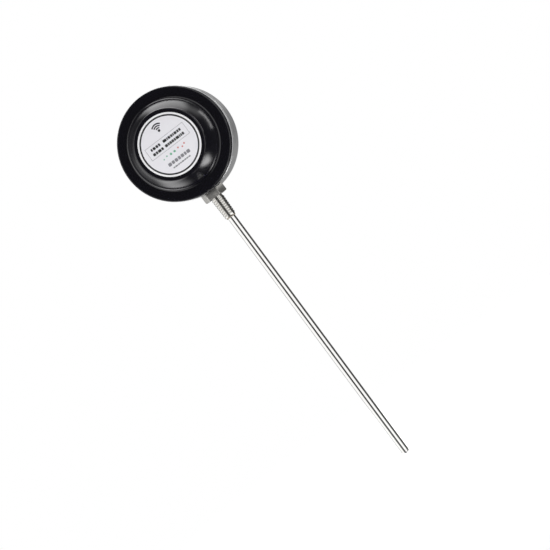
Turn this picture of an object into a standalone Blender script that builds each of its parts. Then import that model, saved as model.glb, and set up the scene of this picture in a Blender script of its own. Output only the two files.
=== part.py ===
"""Wireless temperature probe: a round cap and steel case on a threaded fitting and a long stem.

Sizes are in millimetres and are turned into metres where a mesh is made. The origin is the middle
of the hexagon's lower face, on the stem's axis. The stem hangs along -Z and the cap faces -Y.
The head's own pieces hang from one empty, whose local X is world X, Y is up and Z is forward.
"""

import math

import bmesh
import bpy
from mathutils import Matrix, Vector

MM = 0.001
GAP = 0.3
ROUND = 48
SMALL_ROUND = 16

# Head: distances forward of the stem's axis, and radii about the head's own axis
HEAD_HEIGHT = 47.2
RIM_RADIUS = 41.0
RIM_FRONT = 15.2
RIM_BACK = 8.7
RIM_ROUND = 1.1
RIM_WALL = 2.6
RIM_CHAMFER = 0.5
CAP_FRONT = 32.2
CAP_WALL = 2.4
FRONT_FLAT_RADIUS = 25.6
FRONT_ROUND = 0.9
BAND_BULGE = -0.45
STEP_RADIUS = 32.4
STEP_HEIGHT = 4.4
STEP_FOOT_RADIUS = 34.0
COLLAR_BORE = 29.8
COLLAR_RADIUS = 34.8
SEAL_RADIUS = 32.1
SEAL_WIRE = 0.85
GROOVE_HALF_WIDTH = 1.2
GROOVE_DEPTH = 2.0
LABEL_RADIUS = 22.5
LABEL_THICK = 0.4
LABEL_MARGIN = 0.4
LABEL_BED = 0.2

CASE_RADIUS = 41.5
CASE_FRONT = 8.4
CASE_BACK = -22.8
CASE_WALL = 1.5
CASE_MOUTH = 27.3
CASE_LIP_ROUND = 0.6
CASE_LINE_DEPTH = 0.4
CASE_BACK_ROUND = 2.6
CASE_INNER_ROUND = 1.4
SPIGOT_RADIUS = 29.4
SPIGOT_BORE = 25.4
SPIGOT_FRONT = 18.2
SPIGOT_BACK = 5.8
SPIGOT_CHAMFER = 0.6

# Fitting and stem, along the stem's axis
HEX_FLATS = 16.0
NECK_RADIUS = 5.5
NECK_TOP = 11.0
RELIEF_RADIUS = 5.2
RELIEF_DEPTH = 0.4
UNDERCUT_RADIUS = 4.3
UNDERCUT_LENGTH = 1.2
THREAD_TOP_RADIUS = 4.86
THREAD_LENGTH = 17.0
THREAD_TAPER = 1 / 32
THREAD_CHAMFER = 0.9
WELD_WIDTH = 0.6
WELD_HEIGHT = 0.9
STEM_RADIUS = 3.0
STEM_WALL = 0.5
STEM_TOP = 12.0
STEM_TIP = -229.0
PLUG_LENGTH = 2.2
ELEMENT_RADIUS = 1.2
ELEMENT_LENGTH = 12.0
INSULATOR_TOP = 7.7
WIRE_CIRCLE = 1.1
WIRE_BORE = 0.55
WIRE_RADIUS = 0.22

# Circuit board and what stands on it: x, up from the head's axis, and forward
BOARD_RADIUS = 24.5
BOARD_BACK = 7.4
BOARD_FRONT = 9.0
NOTCH_WIDTH = 14.0
NOTCH_TOP = -20.6
SCREW_SPOTS = [(14.2, 15.5), (-14.2, 15.5), (-12.0, -17.2), (12.0, -17.2)]
POST_RADIUS = 2.4
SCREW_SHANK = 1.0
SCREW_HEAD = 2.2
SCREW_BITE = 7.0
CELL_RADIUS = 8.4
CELL_LENGTH = 33.3
CELL_UP = 2.5
CELL_FORWARD = 19.3
CELL_NUB = 3.2
CELL_NUB_LENGTH = 1.2
HOLDER_LENGTH = 41.0
HOLDER_WIDTH = 19.0
HOLDER_FRONT = 22.5
HOLDER_END_WALL = 1.6
HOLDER_SIDE_WALL = 0.7
HOLDER_FLOOR = 1.2
TERMINAL_PITCH = 4.2
TERMINAL_UP = -15.5
TERMINAL_FRONT = 18.6
LEAD_RADIUS = 0.45
LEAD_FORWARD = 13.2
ANTENNA_SPOT = (8.2, 18.8)
PAIR_SPOT = (-14.9, -10.3)
PAIR_TRAVEL = 0.5
POWER_SPOT = (13.2, -10.8)
POWER_TRAVEL = 2.0
PAIR_FRONT = 12.6
POWER_FRONT = 12.8
LAMP_RADIUS = 1.5

BLACK_MOULDING = ((0.012, 0.012, 0.014), 0.22, 0.0)
LABEL_PAPER = ((0.82, 0.82, 0.86), 0.45, 0.0)
STEEL = ((0.55, 0.55, 0.56), 0.3, 1.0)
POLISHED_STEEL = ((0.72, 0.72, 0.73), 0.12, 1.0)
WELD = ((0.42, 0.40, 0.38), 0.45, 1.0)
SEAL_RUBBER = ((0.02, 0.02, 0.02), 0.7, 0.0)
CERAMIC = ((0.85, 0.82, 0.76), 0.6, 0.0)
RESIN = ((0.05, 0.05, 0.06), 0.35, 0.0)
BOARD_GREEN = ((0.02, 0.16, 0.07), 0.4, 0.0)
BRASS = ((0.72, 0.55, 0.25), 0.3, 1.0)
NICKEL = ((0.66, 0.64, 0.58), 0.25, 1.0)
COPPER = ((0.75, 0.42, 0.25), 0.3, 1.0)
CELL_SLEEVE = ((0.05, 0.12, 0.35), 0.3, 0.0)
TERMINAL_GREEN = ((0.04, 0.30, 0.12), 0.45, 0.0)
PART_TAN = ((0.62, 0.38, 0.14), 0.5, 0.0)
CHIP_BLACK = ((0.02, 0.02, 0.022), 0.5, 0.0)
LAMP = ((0.1, 0.7, 0.2), 0.1, 0.0)
SWITCH_GREY = ((0.25, 0.25, 0.27), 0.5, 0.0)
BUTTON_ORANGE = ((0.75, 0.25, 0.05), 0.4, 0.0)
LEAD_COLOURS = {"red": (0.6, 0.03, 0.03), "white": (0.8, 0.8, 0.78), "grey": (0.3, 0.3, 0.32)}


def clear_scene():
    for old in list(bpy.data.objects):
        bpy.data.objects.remove(old, do_unlink=True)


def make_material(name, finish):
    colour, roughness, metallic = finish
    made = bpy.data.materials.new(name)
    made.use_nodes = True
    shader = made.node_tree.nodes["Principled BSDF"]
    shader.inputs["Base Color"].default_value = (*colour, 1.0)
    shader.inputs["Roughness"].default_value = roughness
    shader.inputs["Metallic"].default_value = metallic
    made.diffuse_color = (*colour, 1.0)
    return made


def make_empty(name, location=(0, 0, 0), rotation=(0, 0, 0), parent=None):
    empty = bpy.data.objects.new(name, None)
    empty.location = Vector(location) * MM
    empty.rotation_euler = rotation
    empty.parent = parent
    bpy.context.scene.collection.objects.link(empty)
    return empty


def make_piece(name, mesh_data, finish, parent=None, location=(0, 0, 0)):
    """Turn a bmesh in millimetres into one named object in metres."""
    bmesh.ops.recalc_face_normals(mesh_data, faces=mesh_data.faces)
    bmesh.ops.scale(mesh_data, vec=(MM, MM, MM), verts=mesh_data.verts)
    mesh = bpy.data.meshes.new(name)
    mesh_data.to_mesh(mesh)
    mesh_data.free()
    mesh.shade_smooth()
    mesh.set_sharp_from_angle(angle=math.radians(30))
    piece = bpy.data.objects.new(name, mesh)
    piece.location = Vector(location) * MM
    piece.parent = parent
    bpy.context.scene.collection.objects.link(piece)
    if finish:
        mesh.materials.append(make_material(name, finish))
    return piece


def make_cutter(name, mesh_data, parent=None):
    cutter = make_piece(name, mesh_data, None, parent)
    cutter.hide_render = True
    cutter.display_type = "WIRE"
    return cutter


def apply_shape(piece, other, operation):
    step = piece.modifiers.new(other.name, "BOOLEAN")
    step.object = other
    step.operation = operation
    step.solver = "EXACT"


def arc(middle, radius, start, end, steps):
    """Points (radius, height) round an arc, angles in degrees from the outward direction."""
    points = []
    for i in range(steps + 1):
        angle = math.radians(start + (end - start) * i / steps)
        points.append((middle[0] + radius * math.cos(angle), middle[1] + radius * math.sin(angle)))
    return points


def bulged(start, end, bulge, steps):
    """Points from start to end, standing out sideways by bulge in the middle."""
    along = Vector(end) - Vector(start)
    side = Vector((along.y, -along.x)).normalized()
    points = []
    for i in range(steps + 1):
        t = i / steps
        point = Vector(start) + along * t + side * (4 * bulge * t * (1 - t))
        points.append((point.x, point.y))
    return points


def turned(outline, segments=ROUND):
    """A solid of revolution about Z from a closed outline of (radius, height) points."""
    mesh_data = bmesh.new()
    rings = []
    for radius, height in outline:
        if radius < 1e-6:
            rings.append([mesh_data.verts.new((0, 0, height))])
            continue
        angles = [2 * math.pi * i / segments for i in range(segments)]
        rings.append([mesh_data.verts.new((radius * math.cos(a), radius * math.sin(a), height))
                      for a in angles])
    for low, high in zip(rings, rings[1:] + rings[:1]):
        if len(low) == 1 and len(high) == 1:
            continue
        for i in range(segments):
            j = (i + 1) % segments
            corners = [low[i % len(low)], low[j % len(low)], high[j % len(high)], high[i % len(high)]]
            mesh_data.faces.new(list(dict.fromkeys(corners)))
    return mesh_data


def rod(radius, low, high, segments=SMALL_ROUND, centre=(0, 0)):
    mesh_data = turned([(0, low), (radius, low), (radius, high), (0, high)], segments)
    bmesh.ops.translate(mesh_data, vec=(*centre, 0), verts=mesh_data.verts)
    return mesh_data


def block(low, high):
    """A box between two corners."""
    mesh_data = bmesh.new()
    size = Vector(high) - Vector(low)
    middle = (Vector(high) + Vector(low)) / 2
    place = Matrix.Translation(middle) @ Matrix.Diagonal((*size, 1))
    bmesh.ops.create_cube(mesh_data, size=1, matrix=place)
    return mesh_data


def prism(outline, low, high):
    """A flat outline of (x, y) points, drawn out along Z."""
    mesh_data = bmesh.new()
    floor = [mesh_data.verts.new((x, y, low)) for x, y in outline]
    roof = [mesh_data.verts.new((x, y, high)) for x, y in outline]
    mesh_data.faces.new(floor)
    mesh_data.faces.new(roof)
    for i in range(len(outline)):
        j = (i + 1) % len(outline)
        mesh_data.faces.new((floor[i], floor[j], roof[j], roof[i]))
    return mesh_data


def joined(shapes):
    """Several separate shapes as one bmesh."""
    whole = bmesh.new()
    for shape in shapes:
        spare = bpy.data.meshes.new("spare")
        shape.to_mesh(spare)
        shape.free()
        whole.from_mesh(spare)
        bpy.data.meshes.remove(spare)
    return whole


def turned_to(mesh_data, axis):
    """Turn a shape that was made along Z to run along X or Y."""
    turn = Matrix.Rotation(math.pi / 2, 3, "Y") if axis == "X" else Matrix.Rotation(-math.pi / 2, 3, "X")
    bmesh.ops.rotate(mesh_data, matrix=turn, verts=mesh_data.verts)
    return mesh_data


def moved(mesh_data, offset):
    bmesh.ops.translate(mesh_data, vec=offset, verts=mesh_data.verts)
    return mesh_data


def make_cap(head):
    """One moulding: front, sloping band, step, rim, seal groove and threaded collar."""
    floor = CAP_FRONT - LABEL_THICK - LABEL_BED
    recess = LABEL_RADIUS + LABEL_MARGIN
    step_top = RIM_FRONT + STEP_HEIGHT
    foot = STEP_FOOT_RADIUS - STEP_RADIUS
    inner_front = floor - CAP_WALL + 0.2
    rim_under = RIM_FRONT - CAP_WALL
    groove_top = RIM_BACK + GROOVE_DEPTH
    front_corner = (FRONT_FLAT_RADIUS - FRONT_ROUND, CAP_FRONT - FRONT_ROUND)
    rim_corner = (RIM_RADIUS - RIM_ROUND, RIM_FRONT - RIM_ROUND)
    band_start = (FRONT_FLAT_RADIUS, CAP_FRONT - FRONT_ROUND)
    outline = [(0, floor), (recess, floor), (recess, CAP_FRONT)]
    outline += arc(front_corner, FRONT_ROUND, 90, 25, 3)
    outline += bulged(band_start, (STEP_RADIUS - 0.5, step_top + 0.5), BAND_BULGE, 5)
    outline += [(STEP_RADIUS, step_top), (STEP_RADIUS, RIM_FRONT + foot)]
    outline += arc((STEP_FOOT_RADIUS, RIM_FRONT + foot), foot, 202.5, 270, 3)
    outline += arc(rim_corner, RIM_ROUND, 90, 0, 4)
    outline += [(RIM_RADIUS, RIM_BACK + RIM_CHAMFER), (RIM_RADIUS - RIM_CHAMFER, RIM_BACK)]
    outline += [(RIM_RADIUS - RIM_WALL, RIM_BACK), (RIM_RADIUS - RIM_WALL, rim_under)]
    outline += [(COLLAR_RADIUS, rim_under), (COLLAR_RADIUS, RIM_BACK)]
    outline += [(SEAL_RADIUS + GROOVE_HALF_WIDTH, RIM_BACK), (SEAL_RADIUS + GROOVE_HALF_WIDTH, groove_top)]
    outline += [(SEAL_RADIUS - GROOVE_HALF_WIDTH, groove_top), (SEAL_RADIUS - GROOVE_HALF_WIDTH, RIM_BACK)]
    outline += [(COLLAR_BORE, RIM_BACK), (COLLAR_BORE, step_top - 1.2)]
    outline += [(FRONT_FLAT_RADIUS - 1.6, inner_front), (0, inner_front)]
    return make_piece("cap", turned(outline), BLACK_MOULDING, head)


def make_label(cap):
    back = CAP_FRONT - LABEL_THICK + LABEL_BED / 2
    return make_piece("label", rod(LABEL_RADIUS, back, back + LABEL_THICK, ROUND), LABEL_PAPER, cap)


def make_cap_seal(head):
    middle = (SEAL_RADIUS, RIM_BACK + SEAL_WIRE)
    ring = arc(middle, SEAL_WIRE, 0, 315, 7)
    return make_piece("cap_seal", turned(ring), SEAL_RUBBER, head)


def make_case(head):
    """Steel cup with a front plate, a rolled lip, a turned line and a rounded back edge."""
    inside = CASE_RADIUS - CASE_WALL
    inner_back = CASE_BACK + CASE_WALL
    plate_back = CASE_FRONT - 1.4
    lip = (CASE_RADIUS - CASE_LIP_ROUND, CASE_FRONT - CASE_LIP_ROUND)
    outer_corner = (CASE_RADIUS - CASE_BACK_ROUND, CASE_BACK + CASE_BACK_ROUND)
    inner_corner = (inside - CASE_INNER_ROUND, inner_back + CASE_INNER_ROUND)
    line = CASE_RADIUS - CASE_LINE_DEPTH
    outline = [(CASE_MOUTH, plate_back), (CASE_MOUTH, CASE_FRONT)]
    outline += arc(lip, CASE_LIP_ROUND, 90, 0, 2)
    outline += [(CASE_RADIUS, 6.7), (line, 6.4), (line, 5.9), (CASE_RADIUS, 5.6)]
    outline += arc(outer_corner, CASE_BACK_ROUND, 0, -90, 4)
    outline += [(0, CASE_BACK), (0, inner_back)]
    outline += arc(inner_corner, CASE_INNER_ROUND, -90, 0, 2)
    outline += [(inside, plate_back)]
    case = make_piece("case", turned(outline), STEEL, head)
    hole = make_cutter("neck_hole_cutter", rod(NECK_RADIUS + GAP, 0, HEAD_HEIGHT / 2, 32))
    apply_shape(case, hole, "DIFFERENCE")
    return case


def make_spigot_ring(head):
    step = CASE_FRONT + GAP
    chamfer_start = SPIGOT_FRONT - SPIGOT_CHAMFER
    outline = [(SPIGOT_BORE, SPIGOT_BACK), (CASE_MOUTH - GAP, SPIGOT_BACK), (CASE_MOUTH - GAP, step)]
    outline += [(SPIGOT_RADIUS, step), (SPIGOT_RADIUS, chamfer_start)]
    outline += [(SPIGOT_RADIUS - SPIGOT_CHAMFER, SPIGOT_FRONT), (SPIGOT_BORE + SPIGOT_CHAMFER, SPIGOT_FRONT)]
    outline += [(SPIGOT_BORE, chamfer_start)]
    return make_piece("spigot_ring", turned(outline), BRASS, head)


def make_hex_fitting():
    """Hexagon shaped to the case wall above, tapered thread below, neck through the wall, bored."""
    corner = HEX_FLATS / math.sqrt(3)
    angles = [math.radians(60 * i) for i in range(6)]
    hexagon = [(corner * math.cos(a), corner * math.sin(a)) for a in angles]
    fitting = make_piece("hex_fitting", prism(hexagon, 0, 9), STEEL)
    wall = moved(turned_to(rod(CASE_RADIUS + GAP, -30, 30, 192), "Y"), (0, 0, HEAD_HEIGHT))
    apply_shape(fitting, make_cutter("case_wall_cutter", wall), "DIFFERENCE")
    relief = rod(RELIEF_RADIUS, -1, RELIEF_DEPTH, 32)
    apply_shape(fitting, make_cutter("relief_cutter", relief), "DIFFERENCE")
    end_radius = THREAD_TOP_RADIUS - (THREAD_LENGTH - UNDERCUT_LENGTH) * THREAD_TAPER
    core = [(0, -THREAD_LENGTH), (end_radius - THREAD_CHAMFER / 2, -THREAD_LENGTH)]
    core += [(end_radius, THREAD_CHAMFER - THREAD_LENGTH), (THREAD_TOP_RADIUS, -UNDERCUT_LENGTH)]
    core += [(UNDERCUT_RADIUS, 0.3 - UNDERCUT_LENGTH), (UNDERCUT_RADIUS, 2), (NECK_RADIUS, 2)]
    core += [(NECK_RADIUS, NECK_TOP), (0, NECK_TOP)]
    apply_shape(fitting, make_cutter("fitting_core", turned(core, 32)), "UNION")
    bore = rod(STEM_RADIUS + GAP, -THREAD_LENGTH - 3, NECK_TOP + 3, 24)
    apply_shape(fitting, make_cutter("fitting_bore_cutter", bore), "DIFFERENCE")
    return fitting


def make_neck_weld():
    """Fillet bead round the neck, inside the case, shaped to the wall below."""
    inner = NECK_RADIUS + GAP
    outline = [(inner, 6), (inner + 0.8, 6), (inner + 0.8, 8.8), (inner, 9.8)]
    bead = make_piece("neck_weld", turned(outline, 24), WELD)
    inside = rod(CASE_RADIUS - CASE_WALL - GAP, -30, 30, 192)
    room = moved(turned_to(inside, "Y"), (0, 0, HEAD_HEIGHT))
    apply_shape(bead, make_cutter("case_room_cutter", room), "INTERSECT")
    return bead


def make_stem():
    """Tube, its end plug and the bead below the thread."""
    plug_top = STEM_TIP + PLUG_LENGTH
    bore = STEM_RADIUS - STEM_WALL
    tube = [(bore, plug_top + GAP), (STEM_RADIUS, plug_top + GAP), (STEM_RADIUS, STEM_TOP), (bore, STEM_TOP)]
    make_piece("stem_tube", turned(tube, 24), POLISHED_STEEL)
    plug = [(0, STEM_TIP), (1.8, STEM_TIP + 0.15), (2.7, STEM_TIP + 0.55), (STEM_RADIUS, STEM_TIP + 1.1)]
    spigot_top = plug_top + PLUG_LENGTH
    plug += [(STEM_RADIUS, plug_top), (bore - GAP, plug_top), (bore - GAP, spigot_top), (0, spigot_top)]
    make_piece("tip_plug", turned(plug, 24), POLISHED_STEEL)
    top = -THREAD_LENGTH - GAP
    inner = STEM_RADIUS + GAP
    bead = [(inner, top), (inner + WELD_WIDTH, top), (inner + 0.35, top - 0.6), (inner, top - WELD_HEIGHT)]
    make_piece("stem_weld", turned(bead, 24), WELD)


def make_stem_inside():
    """Sensing element, bored insulator, its wires and the resin plug above them."""
    element_low = STEM_TIP + 2 * PLUG_LENGTH + GAP
    element_high = element_low + ELEMENT_LENGTH
    insulator_low = element_high + GAP
    insulator_radius = STEM_RADIUS - STEM_WALL - GAP
    make_piece("rtd_element", rod(ELEMENT_RADIUS, element_low, element_high), CERAMIC)
    insulator = rod(insulator_radius, insulator_low, INSULATOR_TOP)
    insulator = make_piece("stem_insulator", insulator, CERAMIC)
    angles = [math.radians(a) for a in (90, 210, 330)]
    spots = [(WIRE_CIRCLE * math.cos(a), WIRE_CIRCLE * math.sin(a)) for a in angles]
    bores = [rod(WIRE_BORE, insulator_low - 2, INSULATOR_TOP + 2, 8, spot) for spot in spots]
    apply_shape(insulator, make_cutter("wire_bore_cutter", joined(bores)), "DIFFERENCE")
    for number, spot in enumerate(spots, 1):
        wire = rod(WIRE_RADIUS, insulator_low, INSULATOR_TOP, 8, spot)
        make_piece(f"element_wire_{number}", wire, COPPER)
    potting = rod(insulator_radius, INSULATOR_TOP + GAP, STEM_TOP - 0.3)
    make_piece("stem_potting", potting, RESIN)


def smooth_route(stops, steps):
    """Points on a smooth curve through the stops (Catmull-Rom)."""
    ends = [stops[0] * 2 - stops[1]] + stops + [stops[-1] * 2 - stops[-2]]
    route = []
    for i in range(1, len(ends) - 2):
        before, start, end, after = ends[i - 1:i + 3]
        for step in range(steps):
            t = step / steps
            route.append(0.5 * (2 * start + (end - before) * t
                                + (2 * before - 5 * start + 4 * end - after) * t ** 2
                                + (3 * start - before - 3 * end + after) * t ** 3))
    route.append(stops[-1])
    return route


def make_lead(colour, place):
    """One insulated lead, from the resin plug, through the board's notch, up into its terminal."""
    foot = 1.25 * place
    spread = TERMINAL_PITCH * place
    entry = HEAD_HEIGHT + TERMINAL_UP - 4.3
    stops = [(foot, 0, 12.1), (foot, 0, 15.0), (0.6 * spread, 1.5, 19.5), (0.9 * spread, 5.5, 23.0)]
    stops += [(spread, 9.5, 24.0), (spread, 12.3, 25.0), (spread, LEAD_FORWARD, entry)]
    stops += [(spread, LEAD_FORWARD, entry + 2.2)]
    points = smooth_route([Vector((x, -forward, z)) for x, forward, z in stops], 3)
    name = "lead_" + colour
    curve = bpy.data.curves.new(name, "CURVE")
    curve.dimensions = "3D"
    curve.bevel_depth = LEAD_RADIUS * MM
    curve.bevel_resolution = 2
    curve.use_fill_caps = True
    spline = curve.splines.new("POLY")
    spline.points.add(len(points) - 1)
    for spot, point in zip(spline.points, points):
        spot.co = (*(point * MM), 1)
    curve.materials.append(make_material(name, (LEAD_COLOURS[colour], 0.45, 0.0)))
    lead = bpy.data.objects.new(name, curve)
    bpy.context.scene.collection.objects.link(lead)


def make_circuit_board(head):
    disc = rod(BOARD_RADIUS, BOARD_BACK, BOARD_FRONT, ROUND)
    board = make_piece("circuit_board", disc, BOARD_GREEN, head)
    half = NOTCH_WIDTH / 2
    below = BOARD_BACK - 2
    above = BOARD_FRONT + 2
    cuts = [block((-half, -BOARD_RADIUS - 2, below), (half, NOTCH_TOP, above))]
    cuts += [rod(SCREW_SHANK + GAP, below, above, SMALL_ROUND, spot) for spot in SCREW_SPOTS]
    apply_shape(board, make_cutter("board_cutter", joined(cuts), head), "DIFFERENCE")


def make_board_fixings(head):
    """Posts that stand on the case back, and the screws that hold the board to them."""
    foot = CASE_BACK + CASE_WALL + GAP
    top = BOARD_BACK - GAP
    screw_end = top - SCREW_BITE
    bore = SCREW_SHANK + GAP
    seat = BOARD_FRONT + GAP
    post = [(0, foot), (POST_RADIUS, foot), (POST_RADIUS, top), (bore, top), (bore, screw_end - 1)]
    post += [(0, screw_end - 1)]
    screw = [(0, screw_end), (SCREW_SHANK, screw_end), (SCREW_SHANK, seat), (SCREW_HEAD, seat)]
    screw += [(SCREW_HEAD, seat + 0.9), (1.5, seat + 1.6), (0, seat + 1.6)]
    for number, (x, up) in enumerate(SCREW_SPOTS, 1):
        make_piece(f"board_post_{number}", turned(post, SMALL_ROUND), NICKEL, head, (x, up, 0))
        make_piece(f"board_screw_{number}", turned(screw, SMALL_ROUND), NICKEL, head, (x, up, 0))


def make_battery(head):
    """Cradle, cell, coil contact on the left and flat contact on the right."""
    length = HOLDER_LENGTH / 2
    low = CELL_UP - HOLDER_WIDTH / 2
    high = CELL_UP + HOLDER_WIDTH / 2
    seat = BOARD_FRONT + GAP
    cradle = block((-length, low, seat), (length, high, HOLDER_FRONT))
    holder = make_piece("battery_holder", cradle, BLACK_MOULDING, head)
    end = length - HOLDER_END_WALL
    room_low = (-end, low + HOLDER_SIDE_WALL, seat + HOLDER_FLOOR)
    room_high = (end, high - HOLDER_SIDE_WALL, HOLDER_FRONT + 8)
    apply_shape(holder, make_cutter("cell_room_cutter", block(room_low, room_high), head), "DIFFERENCE")
    window = block((-14, low - 2, 15.5), (14, high + 2, HOLDER_FRONT + 8))
    apply_shape(holder, make_cutter("side_window_cutter", window, head), "DIFFERENCE")
    half = CELL_LENGTH / 2
    shoulder = half - CELL_NUB_LENGTH
    cell = [(0, -half), (CELL_RADIUS - 0.6, -half), (CELL_RADIUS, -half + 0.6), (CELL_RADIUS, half - 2.0)]
    cell += [(CELL_RADIUS - 0.8, shoulder), (CELL_NUB, shoulder), (CELL_NUB, half), (0, half)]
    place = (0, CELL_UP, CELL_FORWARD)
    make_piece("battery", moved(turned_to(turned(cell, 32), "X"), place), CELL_SLEEVE, head)
    gap_end = end - GAP
    coil = [(0, -gap_end), (3.6, -gap_end), (2.4, -half - GAP), (0, -half - GAP)]
    make_piece("battery_spring", moved(turned_to(turned(coil), "X"), place), NICKEL, head)
    tab = block((half + GAP, -3.5, -6.5), (gap_end, 3.5, 3.5))
    make_piece("battery_tab", moved(tab, place), NICKEL, head)


def make_radio(head):
    """Radio board, the can over its chips, and the standing antenna (a slim solid of its outer size)."""
    seat = BOARD_FRONT + GAP
    make_piece("radio_module", block((-7.5, 12.8, seat), (4.5, 22.2, seat + 0.8)), BOARD_GREEN, head)
    can = block((-6.7, 14.6, seat + 0.8 + GAP), (3.7, 21.6, seat + 3.3))
    make_piece("radio_shield", can, NICKEL, head)
    make_piece("antenna", rod(2.1, seat, 25.4, SMALL_ROUND, ANTENNA_SPOT), COPPER, head)


def make_chips(head):
    back = BOARD_BACK - GAP
    seat = BOARD_FRONT + GAP
    make_piece("processor", block((-7.5, 2.5, back - 1.0), (-0.5, 9.5, back)), CHIP_BLACK, head)
    make_piece("regulator", block((3.0, 3.0, back - 1.1), (6.0, 6.0, back)), CHIP_BLACK, head)
    make_piece("crystal", block((-11.4, 14.6, seat), (-8.8, 19.0, seat + 1.2)), NICKEL, head)
    make_piece("capacitor", block((-1.6, -10.4, seat), (1.6, -8.6, seat + 1.5)), PART_TAN, head)
    dome = seat + 2.5
    lamp = [(0, seat), (LAMP_RADIUS, seat), (LAMP_RADIUS, dome)]
    lamp += arc((0, dome), LAMP_RADIUS, 30, 90, 2)[:-1] + [(0, dome + LAMP_RADIUS)]
    make_piece("status_led", moved(turned(lamp, SMALL_ROUND), (20.0, -8.6, 0)), LAMP, head)


def make_terminals(head):
    seat = BOARD_FRONT + GAP
    low = TERMINAL_UP - 4.1
    high = TERMINAL_UP + 4.1
    well_up = TERMINAL_UP + 1.2
    spots = [-TERMINAL_PITCH, 0, TERMINAL_PITCH]
    moulding = block((-7.2, low, seat), (7.2, high, TERMINAL_FRONT))
    body = make_piece("terminal_block", moulding, TERMINAL_GREEN, head)
    cuts = [rod(1.6, 16.0, TERMINAL_FRONT + 2, 12, (x, well_up)) for x in spots]
    for x in spots:
        mouth = turned_to(rod(1.1, low - 2, low + 5, 12), "Y")
        cuts.append(moved(mouth, (x, 0, LEAD_FORWARD)))
    apply_shape(body, make_cutter("terminal_cutter", joined(cuts), head), "DIFFERENCE")
    for number, x in enumerate(spots, 1):
        screw = rod(1.25, 16.3, TERMINAL_FRONT - 0.5, 12, (x, well_up))
        make_piece(f"terminal_screw_{number}", screw, NICKEL, head)


def make_pair_switch(head):
    """Square push switch and its round plunger, which has its origin on its own axis."""
    seat = BOARD_FRONT + GAP
    x, up = PAIR_SPOT
    case = block((x - 2.7, up - 2.7, seat), (x + 2.7, up + 2.7, PAIR_FRONT))
    body = make_piece("pair_switch", case, SWITCH_GREY, head)
    well = rod(1.3, PAIR_FRONT - 1.8, PAIR_FRONT + 2, SMALL_ROUND, PAIR_SPOT)
    apply_shape(body, make_cutter("pair_well_cutter", well, head), "DIFFERENCE")
    foot = PAIR_FRONT - 0.9
    under = PAIR_FRONT + PAIR_TRAVEL + GAP
    plunger = [(0, foot), (1.0, foot), (1.0, under), (1.7, under), (1.7, under + 1.2)]
    plunger += [(1.4, under + 1.5), (0, under + 1.5)]
    make_piece("pair_button", turned(plunger, SMALL_ROUND), BUTTON_ORANGE, head, (x, up, 0))


def make_power_switch(head):
    """Slide switch: the knob rests at the left end of its slot and travels to the right."""
    seat = BOARD_FRONT + GAP
    x, up = POWER_SPOT
    shell = block((x - 4.0, up - 1.8, seat), (x + 4.0, up + 1.8, POWER_FRONT))
    body = make_piece("power_switch", shell, NICKEL, head)
    knob_half = 1.1
    reach = knob_half + POWER_TRAVEL / 2 + 0.4
    slot_floor = POWER_FRONT - 1.2
    slot = block((x - reach, up - 1.1, slot_floor), (x + reach, up + 1.1, POWER_FRONT + 2))
    apply_shape(body, make_cutter("power_slot_cutter", slot, head), "DIFFERENCE")
    knob = block((-knob_half, -0.8, slot_floor + GAP), (knob_half, 0.8, POWER_FRONT + 2))
    make_piece("power_slider", knob, CHIP_BLACK, head, (x - POWER_TRAVEL / 2, up, 0))


def build():
    clear_scene()
    head = make_empty("head_frame", (0, 0, HEAD_HEIGHT), (math.pi / 2, 0, 0))
    cap = make_cap(head)
    make_label(cap)
    make_cap_seal(head)
    make_case(head)
    make_spigot_ring(head)
    make_hex_fitting()
    make_neck_weld()
    make_stem()
    make_stem_inside()
    for place, colour in enumerate(LEAD_COLOURS):
        make_lead(colour, place - 1)
    make_circuit_board(head)
    make_board_fixings(head)
    make_battery(head)
    make_radio(head)
    make_chips(head)
    make_terminals(head)
    make_pair_switch(head)
    make_power_switch(head)


build()
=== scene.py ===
"""Wireless temperature probe: the finished pieces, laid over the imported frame.

Shapes are drawn in millimetres and turned into metres as they become pieces. The head's shapes are
drawn in its own axes: x to the right, up from the head's middle, and forward to the cap. The
fitting and the stem are drawn about their own axis, with z up.
"""

import math

import bmesh
import bpy
from mathutils import Matrix, Vector


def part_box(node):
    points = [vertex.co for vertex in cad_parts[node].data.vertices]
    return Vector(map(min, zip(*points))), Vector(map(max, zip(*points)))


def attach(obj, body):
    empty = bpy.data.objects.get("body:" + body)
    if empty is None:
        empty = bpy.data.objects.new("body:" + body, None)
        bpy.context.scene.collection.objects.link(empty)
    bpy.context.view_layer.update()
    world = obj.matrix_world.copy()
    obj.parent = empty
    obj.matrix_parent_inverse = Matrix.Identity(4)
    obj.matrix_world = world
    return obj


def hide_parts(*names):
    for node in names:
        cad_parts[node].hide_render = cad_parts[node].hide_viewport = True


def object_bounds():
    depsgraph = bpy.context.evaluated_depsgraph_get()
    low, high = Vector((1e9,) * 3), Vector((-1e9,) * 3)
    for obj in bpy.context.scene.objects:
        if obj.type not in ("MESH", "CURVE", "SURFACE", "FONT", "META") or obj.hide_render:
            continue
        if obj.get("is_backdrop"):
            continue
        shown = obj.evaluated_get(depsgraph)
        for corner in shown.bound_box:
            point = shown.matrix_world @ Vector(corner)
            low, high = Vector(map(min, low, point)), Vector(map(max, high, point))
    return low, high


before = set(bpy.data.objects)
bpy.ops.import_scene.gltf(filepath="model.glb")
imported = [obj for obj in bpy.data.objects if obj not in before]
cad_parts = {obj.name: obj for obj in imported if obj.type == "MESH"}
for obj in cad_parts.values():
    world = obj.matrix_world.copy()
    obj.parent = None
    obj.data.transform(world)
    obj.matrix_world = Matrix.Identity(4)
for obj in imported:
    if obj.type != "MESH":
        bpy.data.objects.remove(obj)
CAD_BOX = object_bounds()

MM = 0.001
# Sides of the large, the common and the small round pieces
FINE = 256
ROUND = 64
SMALL = 48
ORIGIN = (0, 0, 0)


def middle_of(node):
    low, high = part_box(node)
    return (low + high) / 2


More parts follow.
